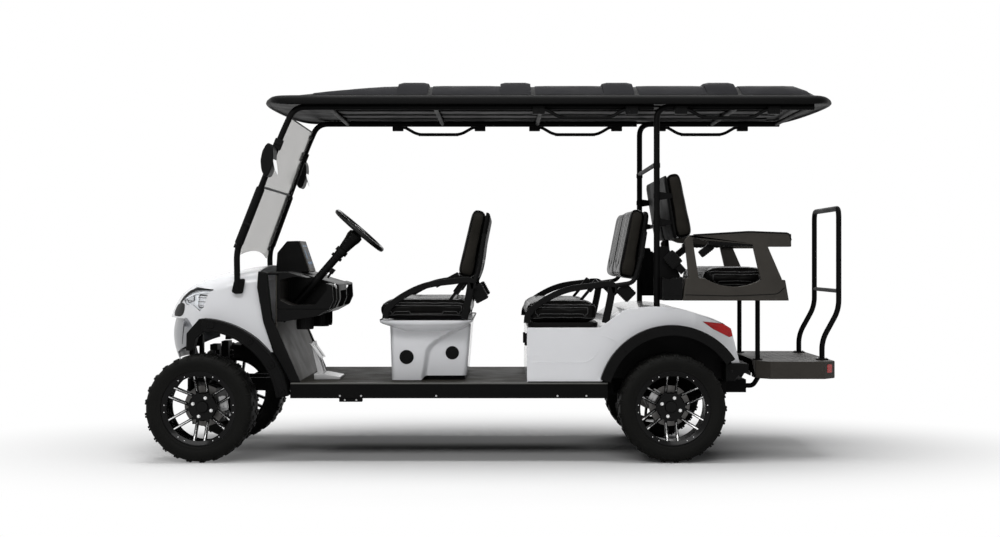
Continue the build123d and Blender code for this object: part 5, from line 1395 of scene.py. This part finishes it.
tub_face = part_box("rear_seat_tub")[1].y + 0.0004
bin_line = [(-0.9475, 0.8385), (-0.9475, 0.962), (-0.925, 0.953), (-0.905, 0.957),
            (-0.885, 0.947), (-0.862, 0.950), (-0.8455, 0.960), (-0.8455, 0.8385)]
tub_groove_shade, arm_caps, bins = bmesh.new(), bmesh.new(), bmesh.new()
for side in (-1, 1):
    face = side * tub_face
    add_prism(bins, bin_line, 0.0965, side_view(min(side * 0.5125, side * 0.609)), 0.003)
    add_tube(bins, [(-0.940, side * 0.6092, 0.868), (-0.852, side * 0.6092, 0.872)], 0.0018, 8)
    # A thin black line along each side of the tub: painted shade of a groove.
    groove_shade_line = rounded([(-0.960, face, 0.868), (-1.200, face, 0.862), (-1.440, face, 0.872),
                      (-1.474, face, 0.905)], 0.05)
    add_tube(tub_groove_shade, groove_shade_line, 0.0020, 8)
    low, high = sorted((side * 0.543, side * 0.6165))
    add_block(arm_caps, (-1.376, low + 0.006, 1.1225), (-1.085, high - 0.006, 1.146), 0.006)
    for k in range(12):
        x = -1.100 - 0.024 * k
        add_block(arm_caps, (x - 0.003, low + 0.004, 1.1205), (x + 0.003, high - 0.004, 1.146),
                  0.001)
    cap = flat_line([(-1.010, 1.1785), (-1.292, 1.1955), (-1.500, 1.1875), (-1.5085, 1.150)],
                    0.02)
    flat_bar(arm_caps, cap, 0.008, low, high, 0.0015)
placed("tub_groove_shade_lines", tub_groove_shade, grained_black, sharp=60)
placed("arm_rest_caps", arm_caps, grained_black)
placed("rear_side_bins", bins, grained_black)

rear_reels = bmesh.new()
for x, z, lean, half in ((-0.902, 1.050, -48, Vector((0.040, 0.020, 0.034))),
                         (-1.078, 1.100, 38, Vector((0.040, 0.014, 0.019)))):
    turn = Matrix.Rotation(math.radians(lean), 3, "Y")
    ahead = turn @ Vector((half.x, 0, 0))
    for side in (-1, 1):
        middle = Vector((x, side * 0.5455, z))
        add_box(rear_reels, middle, half, 0.005, turn)
        for k in range(5):
            add_box(rear_reels, middle + ahead * (0.30 * k - 0.60),
                    (0.0024, half.y + 0.0015, half.z + 0.0015), 0.001, turn)
        add_box(rear_reels, middle - ahead * 1.5, (half.x * 0.7, 0.003, half.z * 0.55), 0.001,
                turn)
placed("rear_belt_reels", rear_reels, grained_black)

# ---- Foot platform and grab bar ----------------------------------------------------------
# A bevelled taupe moulding with short tread bars laid across each other, on two bent tubes.
# A grab bar stands on it on bolted feet, and red reflectors are let into its corners.

tread_alloy = finish("tread_alloy", (0.06, 0.06, 0.06), 0.5, grain=300, depth=0.0003, metal=0.4)
reflector_red = finish("reflector_red", (0.50, 0.006, 0.006), 0.15, grain=1500, depth=0.0004,
                       coat=0.1)
eased("step_platform", 0.005, grained_taupe)

step_low, step_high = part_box("step_platform")
tread = bmesh.new()
row, x = 0, step_low.x + 0.075
while x < step_high.x - 0.070:
    y = -0.385 + (0.020 if row % 2 else 0.0)
    while y < 0.390:
        lean = Matrix.Rotation(math.radians(45 if row % 2 else -45), 3, "Z")
        add_block(tread, (x - 0.010, y - 0.0022, step_high.z - 0.0015),
                  (x + 0.010, y + 0.0022, step_high.z + 0.0006), 0.0, lean)
        y += 0.040
    x += 0.020
    row += 1
placed("platform_tread", tread, tread_alloy)

step_top, bar_foot_x, bar_x, bar_y = 0.5133, -1.730, -1.820, 0.320
tubes, grab = bmesh.new(), bmesh.new()
for side in (-1, 1):
    y = side * 0.250
    line = [(-1.3303, y, 0.369), (-1.370, y, 0.369), (-1.450, y, 0.4947), (-1.721, y, 0.4947)]
    add_tube(tubes, rounded(line, 0.040), 0.013, 18)
    foot = (-1.385, side * 0.315, step_top)
    add_tube(tubes, [foot, (*foot[:2], 0.8817)], 0.013, 18)
    add_stud(tubes, foot, (0, 0, 1), 0.027, 0.006, 24, 1.0)
tube_piece = placed("platform_tubes", tubes, powder_black)
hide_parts("rear_tubes")
half_bar = [(bar_foot_x, step_top), (bar_foot_x, 0.617), (bar_x, 0.782), (bar_x, 1.326)]
bar = [(x, bar_y, z) for x, z in half_bar] + [(x, -bar_y, z) for x, z in half_bar[::-1]]
add_tube(grab, rounded(bar, 0.052, 10), 0.0145, 22)
add_tube(grab, [(bar_x, -bar_y, 0.882), (bar_x, bar_y, 0.882)], 0.011, 18)
grab_bolts = bmesh.new()
for y in (-bar_y, bar_y):
    add_block(grab, (bar_foot_x - 0.030, y - 0.026, step_top),
              (bar_foot_x + 0.030, y + 0.026, 0.5205), 0.002)
    for dx in (-0.022, 0.022):
        add_stud(grab_bolts, (bar_foot_x + dx, y, 0.5205), (0, 0, 1), 0.006, 0.004)
grab_piece = placed("grab_bar_tube", grab, powder_black, sharp=50)
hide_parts("grab_bar")
placed("grab_bar_bolts", grab_bolts, zinc)

corner_reflectors = bmesh.new()
for side in (-1, 1):
    add_box(corner_reflectors, (step_low.x + 0.0365, side * (step_high.y - 0.0365), 0.474),
            (0.022, 0.0035, 0.022), 0.0015, Matrix.Rotation(math.radians(45 * side), 3, "Z"))
placed("platform_reflectors", corner_reflectors, reflector_red)

# ---- Roof --------------------------------------------------------------------------------
# A double-skinned canopy, thermoformed from textured black sheet with a thin bowed nose and
# tail. Raised pads with a rain notch behind each cross its deck.

deck_black = finish("deck_black", (0.007, 0.007, 0.008), 0.62, grain=260, depth=0.0003,
                    specular=0.02)

roof_low, roof_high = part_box("roof_canopy")
roof_nose, roof_tail, roof_half = roof_high.x, roof_low.x, roof_high.y
nose_corner, tail_corner = roof_nose - 0.106, roof_tail + 0.130
deck_front, deck_rear, deck_half = 0.541, -1.582, 0.340


def nose_lift(x, share):
    """How far the rim's lower edge rises towards the tips of the nose and the tail."""
    ahead = max(0.0, (x - nose_corner + 0.10) / (roof_nose - nose_corner + 0.10))
    behind = max(0.0, (tail_corner + 0.10 - x) / (tail_corner - roof_tail + 0.10))
    return 0.036 * share * (min(1.0, max(ahead, behind)) ** 2)


rim_profile = [
    # inset, height, share of the nose's lift
    (0.330, 1.8690, 0.8), (0.022, 1.8685, 1.0), (0.016, 1.8590, 1.0), (0.006, 1.8580, 1.0),
    (0.001, 1.8625, 1.0), (0.000, 1.8760, 0.7), (0.003, 1.8900, 0.5), (0.011, 1.9010, 0.4),
    (0.024, 1.9070, 0.3), (0.034, 1.9085, 0.3), (0.040, 1.9060, 0.2),
]
deck_profile = [(0.10, 1.912), (0.35, 1.934), (0.70, 1.960), (0.93, 1.9735), (1.0, 1.9755)]
roof = bmesh.new()
roof_rings = []
for inset, z, share in rim_profile:
    plan = plan_ring(nose_corner - inset, roof_nose - inset, tail_corner + inset,
                     roof_tail + inset, roof_half - inset, 0.075)
    roof_rings.append([roof.verts.new((p.x, p.y, z + nose_lift(p.x, share))) for p in plan])
outer = plan_ring(nose_corner - 0.04, roof_nose - 0.04, tail_corner + 0.04, roof_tail + 0.04,
                  roof_half - 0.04, 0.075)
inner = plan_ring(deck_front, deck_front + 0.04, deck_rear, deck_rear - 0.03, deck_half, 0.06)
for share, z in deck_profile:
    plan = [a.lerp(b, share) for a, b in zip(outer, inner)]
    roof_rings.append([roof.verts.new((p.x, p.y, z)) for p in plan])
top_plan = plan_ring(deck_front - 0.1, deck_front - 0.08, deck_rear + 0.1, deck_rear + 0.08,
                     deck_half - 0.08, 0.05)
roof_rings.append([roof.verts.new((p.x, p.y, 1.9765)) for p in top_plan])
skinned(roof, roof_rings)
roof_surface = BVHTree.FromBMesh(roof)
canopy = placed("roof_skin", roof, satin_black, sharp=40)
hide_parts("roof_canopy")


def deck_panel(form, front, rear, height, half=0.520):
    """A raised strip across the deck that follows its slopes down to the rim."""
    rows, columns = 6, 34
    tops, foots = [], []
    for i in range(rows + 1):
        x = front + (rear - front) * i / rows
        top, foot = [], []
        for k in range(columns + 1):
            y = -half + 2 * half * k / columns
            hit = roof_surface.ray_cast(Vector((x, y, 3.0)), Vector((0, 0, -1)))[0]
            fall = min(1.0, max(0.0, (half - abs(y)) / (half - deck_half)))
            rise = 0.002 + (height - 0.002) * fall ** 0.6
            if i in (0, rows) or k in (0, columns):
                rise *= 0.75
            top.append(form.verts.new(hit + Vector((0, 0, rise))))
            foot.append(form.verts.new(hit - Vector((0, 0, 0.003))))
        tops.append(top)
        foots.append(foot)
    for near, far in zip(tops, tops[1:]):
        for k in range(columns):
            form.faces.new((near[k], near[k + 1], far[k + 1], far[k]))
    walls = [(tops[0], foots[0]), (tops[-1][::-1], foots[-1][::-1])]
    walls += [([row[0] for row in tops[::-1]], [row[0] for row in foots[::-1]]),
              ([row[-1] for row in tops], [row[-1] for row in foots])]
    for edge, base in walls:
        for a, b, c, d in zip(edge, edge[1:], base[1:], base):
            form.faces.new((a, b, c, d))


deck = bmesh.new()
pad_length, pad_pitch, notch = 0.160, 0.543, 0.024
pad_fronts = [0.540 - pad_pitch * k for k in range(4)]
for front in pad_fronts:
    deck_panel(deck, front, front - pad_length, 0.0232)
    deck_panel(deck, front - pad_length - notch, front - pad_pitch + 0.0005, 0.006)
deck_panel(deck, 0.980, 0.5405, 0.006)
placed("roof_deck_panels", deck, deck_black, sharp=30)

lining = bmesh.new()
for y in (-0.36, -0.12, 0.12, 0.36):
    add_block(lining, (-1.55, y - 0.030, 1.8625), (0.93, y + 0.030, 1.8688), 0.003)
placed("roof_lining_ribs", lining, satin_black)

# ---- Roof tubes and hand grips -----------------------------------------------------------
# Powder coated steel tubes run along under the roof and across it, between the pillars.
# Ribbed black grips are bolted to them, with a block at each end.

pillar_radius, rail_y = 0.016, pillar_y
rails = bmesh.new()
for y in (-rail_y, rail_y):
    add_tube(rails, [(0.950, y, rail_z), (-0.8077, y, rail_z)], pillar_radius, 24)
for x in (0.900, 0.340, -0.220):
    add_tube(rails, [(x, -rail_y, rail_z), (x, rail_y, rail_z)], 0.012, 20)
rails_piece = placed("roof_rail_tubes", rails, powder_black, sharp=50)
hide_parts("roof_rails")

grip_y = rail_y + pillar_radius + 0.0105
grip_low, grip_high = rail_z - 0.060, rail_z - 0.018
grips, grip_feet = bmesh.new(), bmesh.new()
for x, sides in ((0.362, (-1,)), (-0.447, (-1, 1)), (-1.192, (-1, 1))):
    for side in sides:
        y = side * grip_y
        bar = [(x + dx, y, z) for dx, z in (
            (-0.225, grip_high), (-0.200, grip_high), (-0.128, grip_low), (0.128, grip_low),
            (0.200, grip_high), (0.225, grip_high))]
        add_tube(grips, rounded(bar, 0.035), 0.0090, 16)
        for k in range(25):
            rib_x = x - 0.114 + 0.0095 * k
            add_tube(grips, [(rib_x, y, grip_low), (rib_x + 0.0058, y, grip_low)], 0.0099, 16)
        outer = y + side * 0.009
        for middle in (x - 0.243, x + 0.243):
            add_block(grip_feet, (middle - 0.032, side * (rail_y + 0.006), rail_z - 0.040),
                      (middle + 0.032, outer, rail_z + 0.004), 0.003)
            add_stud(grip_feet, (middle, outer, rail_z - 0.022), (0, side, 0), 0.0065, 0.0025)
grips_piece = placed("grip_bars", grips, grained_black, sharp=50)
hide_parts("roof_handles")
placed("grip_feet", grip_feet, grained_black)

# ---- Front pillars and screen ------------------------------------------------------------
# Steel tubes bend over the cowl from bolted foot plates, in rubber sleeves beside the lower
# pane. The screen is two panes of grey acrylic, clamped to them and hinged where they meet.

pillar_line = [(1.366, 0.566, 0.872), (1.371, 0.562, 1.104), (1.141, 0.516, 1.711),
               (1.078, rail_y, rail_z), (0.950, rail_y, rail_z)]


def pillar_at(z, side=1):
    """The middle of a pillar's long straight run at a height."""
    low, high = Vector(pillar_line[1]), Vector(pillar_line[2])
    spot = low.lerp(high, (z - low.z) / (high.z - low.z))
    return Vector((spot.x, side * spot.y, spot.z))


pillar_lean = (Vector(pillar_line[2]) - Vector(pillar_line[1])).normalized()
lean = pillar_lean.to_track_quat("Z", "Y").to_matrix()
clamp_boss, clamp_flange = (0.025, 0.023, 0.027), (0.029, 0.020, 0.008)
foot_plate = flat_line([(1.352, 0.9495), (1.381, 0.947), (1.397, 0.878), (1.338, 0.872),
                        (1.324, 0.952), (1.352, 0.9495)], 0.014)[1:]
pillars, clamps = bmesh.new(), bmesh.new()
for side in (1, -1):
    line = [(x, side * y, z) for x, y, z in pillar_line]
    add_tube(pillars, rounded(line, 0.060), pillar_radius, 24)
    sleeve = [pillar_at(z, side) for z in (1.128, 1.136, 1.420, 1.428)]
    add_tube(pillars, sleeve, [0.019, 0.0228, 0.0228, 0.019], 24)
    add_tube(pillars, [pillar_at(1.108, side), pillar_at(1.127, side)], 0.0205, 24)
    face = side * 0.5755
    add_prism(pillars, foot_plate, 0.0105, side_view(face - side * 0.010, side), 0.002)
    for x, z in ((1.335, 0.940), (1.373, 0.935), (1.347, 0.884), (1.386, 0.889)):
        add_stud(clamps, (x, face, z), (0, side, 0), 0.0062, 0.0035)
    for z, halves in ((1.655, (clamp_boss, clamp_flange)), (1.235, (clamp_flange,))):
        for half in halves:
            add_box(clamps, pillar_at(z, side), half, 0.004, lean)
split = pillar_at(1.432)
add_tube(pillars, [(split.x, -split.y, split.z), (split.x, split.y, split.z)], 0.0065, 20)
pillars_piece = placed("pillar_tubes", pillars, powder_black, sharp=50)
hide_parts("front_pillars")
placed("pillar_clamps", clamps, grained_black)

grey_acrylic = bpy.data.materials.new("grey_acrylic")
grey_acrylic.use_nodes = True
acrylic = grey_acrylic.node_tree
wipe_marks = wired(acrylic, "TexNoise", {"Scale": 4.0, "Detail": 5.0}, "Fac")
feed(acrylic, acrylic.nodes["Principled BSDF"], {
    "Base Color": blended(acrylic, wipe_marks, 0.0, (0.47, 0.465, 0.455),
                          1.0, (0.60, 0.595, 0.585)),
    "Roughness": wired(acrylic, "MapRange", {"Value": wipe_marks, "To Min": 0.04,
                                             "To Max": 0.16}),
    "Transmission Weight": 0.85, "IOR": 1.03})
eased("windscreen", 0.001, grey_acrylic)

screen_fittings = bmesh.new()
outward = Vector((-pillar_lean.z, 0, pillar_lean.x))
for side in (-1, 1):
    for z, inward in ((1.448, 0.036), (1.415, 0.036), (1.115, 0.060), (1.770, 0.040)):
        spot = pillar_at(z, side) - Vector((0, side * inward, 0)) - outward * 0.010
        add_stud(screen_fittings, spot, outward, 0.011, 0.020, 16, 0.9)
top_edge = [pillar_at(1.800, side) - Vector((0, side * 0.03, 0)) for side in (1, -1)]
add_tube(screen_fittings, top_edge, 0.0045, 12)
placed("screen_fittings", screen_fittings, grained_black)

# ---- Mirrors -----------------------------------------------------------------------------
# Oval moulded cups on short ball-jointed stalks outside the pillars. Each holds a pane of
# silvered glass that looks back along the cart.

mirror_silver = finish("mirror_silver", (0.86, 0.87, 0.88), 0.04, grain=20, depth=0.0,
                       mottle=0.01, metal=1.0)
mirror_cups, mirror_faces = bmesh.new(), bmesh.new()
mirror_rim = [(1.2205, 1.520), (1.2235, 1.560), (1.2140, 1.606), (1.1960, 1.638),
              (1.1830, 1.649), (1.1680, 1.640), (1.1580, 1.616), (1.1560, 1.580),
              (1.1640, 1.530), (1.1760, 1.492), (1.1880, 1.476), (1.2020, 1.478),
              (1.2140, 1.495)]
mount = pillar_at(1.562)
near, far = mount.y + 0.0626, 0.7197
glass = [(math.cos(angle) * (far - near) * 0.40, math.sin(angle) * 0.070)
         for angle in (2 * math.pi * k / 28 for k in range(28))]
glass_turn = Vector((-0.985, 0, 0.17)).normalized().to_track_quat("Z", "Y").to_matrix().to_4x4()
for side in (-1, 1):
    add_prism(mirror_cups, mirror_rim, far - near, side_view(side * near, side), 0.016)
    stalk = [(mount.x, mount.y + pillar_radius, 1.562), (mount.x + 0.004, mount.y + 0.030, 1.566),
             (1.188, near + 0.012, 1.562)]
    add_tube(mirror_cups, rounded([(x, side * y, z) for x, y, z in stalk], 0.012), 0.008, 16)
    collar = [(mount.x, side * (mount.y + pillar_radius + reach), 1.562)
              for reach in (-0.003, 0.006)]
    add_tube(mirror_cups, collar, 0.016, 20)
    middle = Matrix.Translation((1.1600, side * (near + far) / 2, 1.556))
    add_prism(mirror_faces, glass, 0.003, middle @ glass_turn, 0.0006)
mirrors_piece = placed("mirror_heads", mirror_cups, grained_black, sharp=50)
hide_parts("mirrors")
placed("mirror_glass", mirror_faces, mirror_silver)
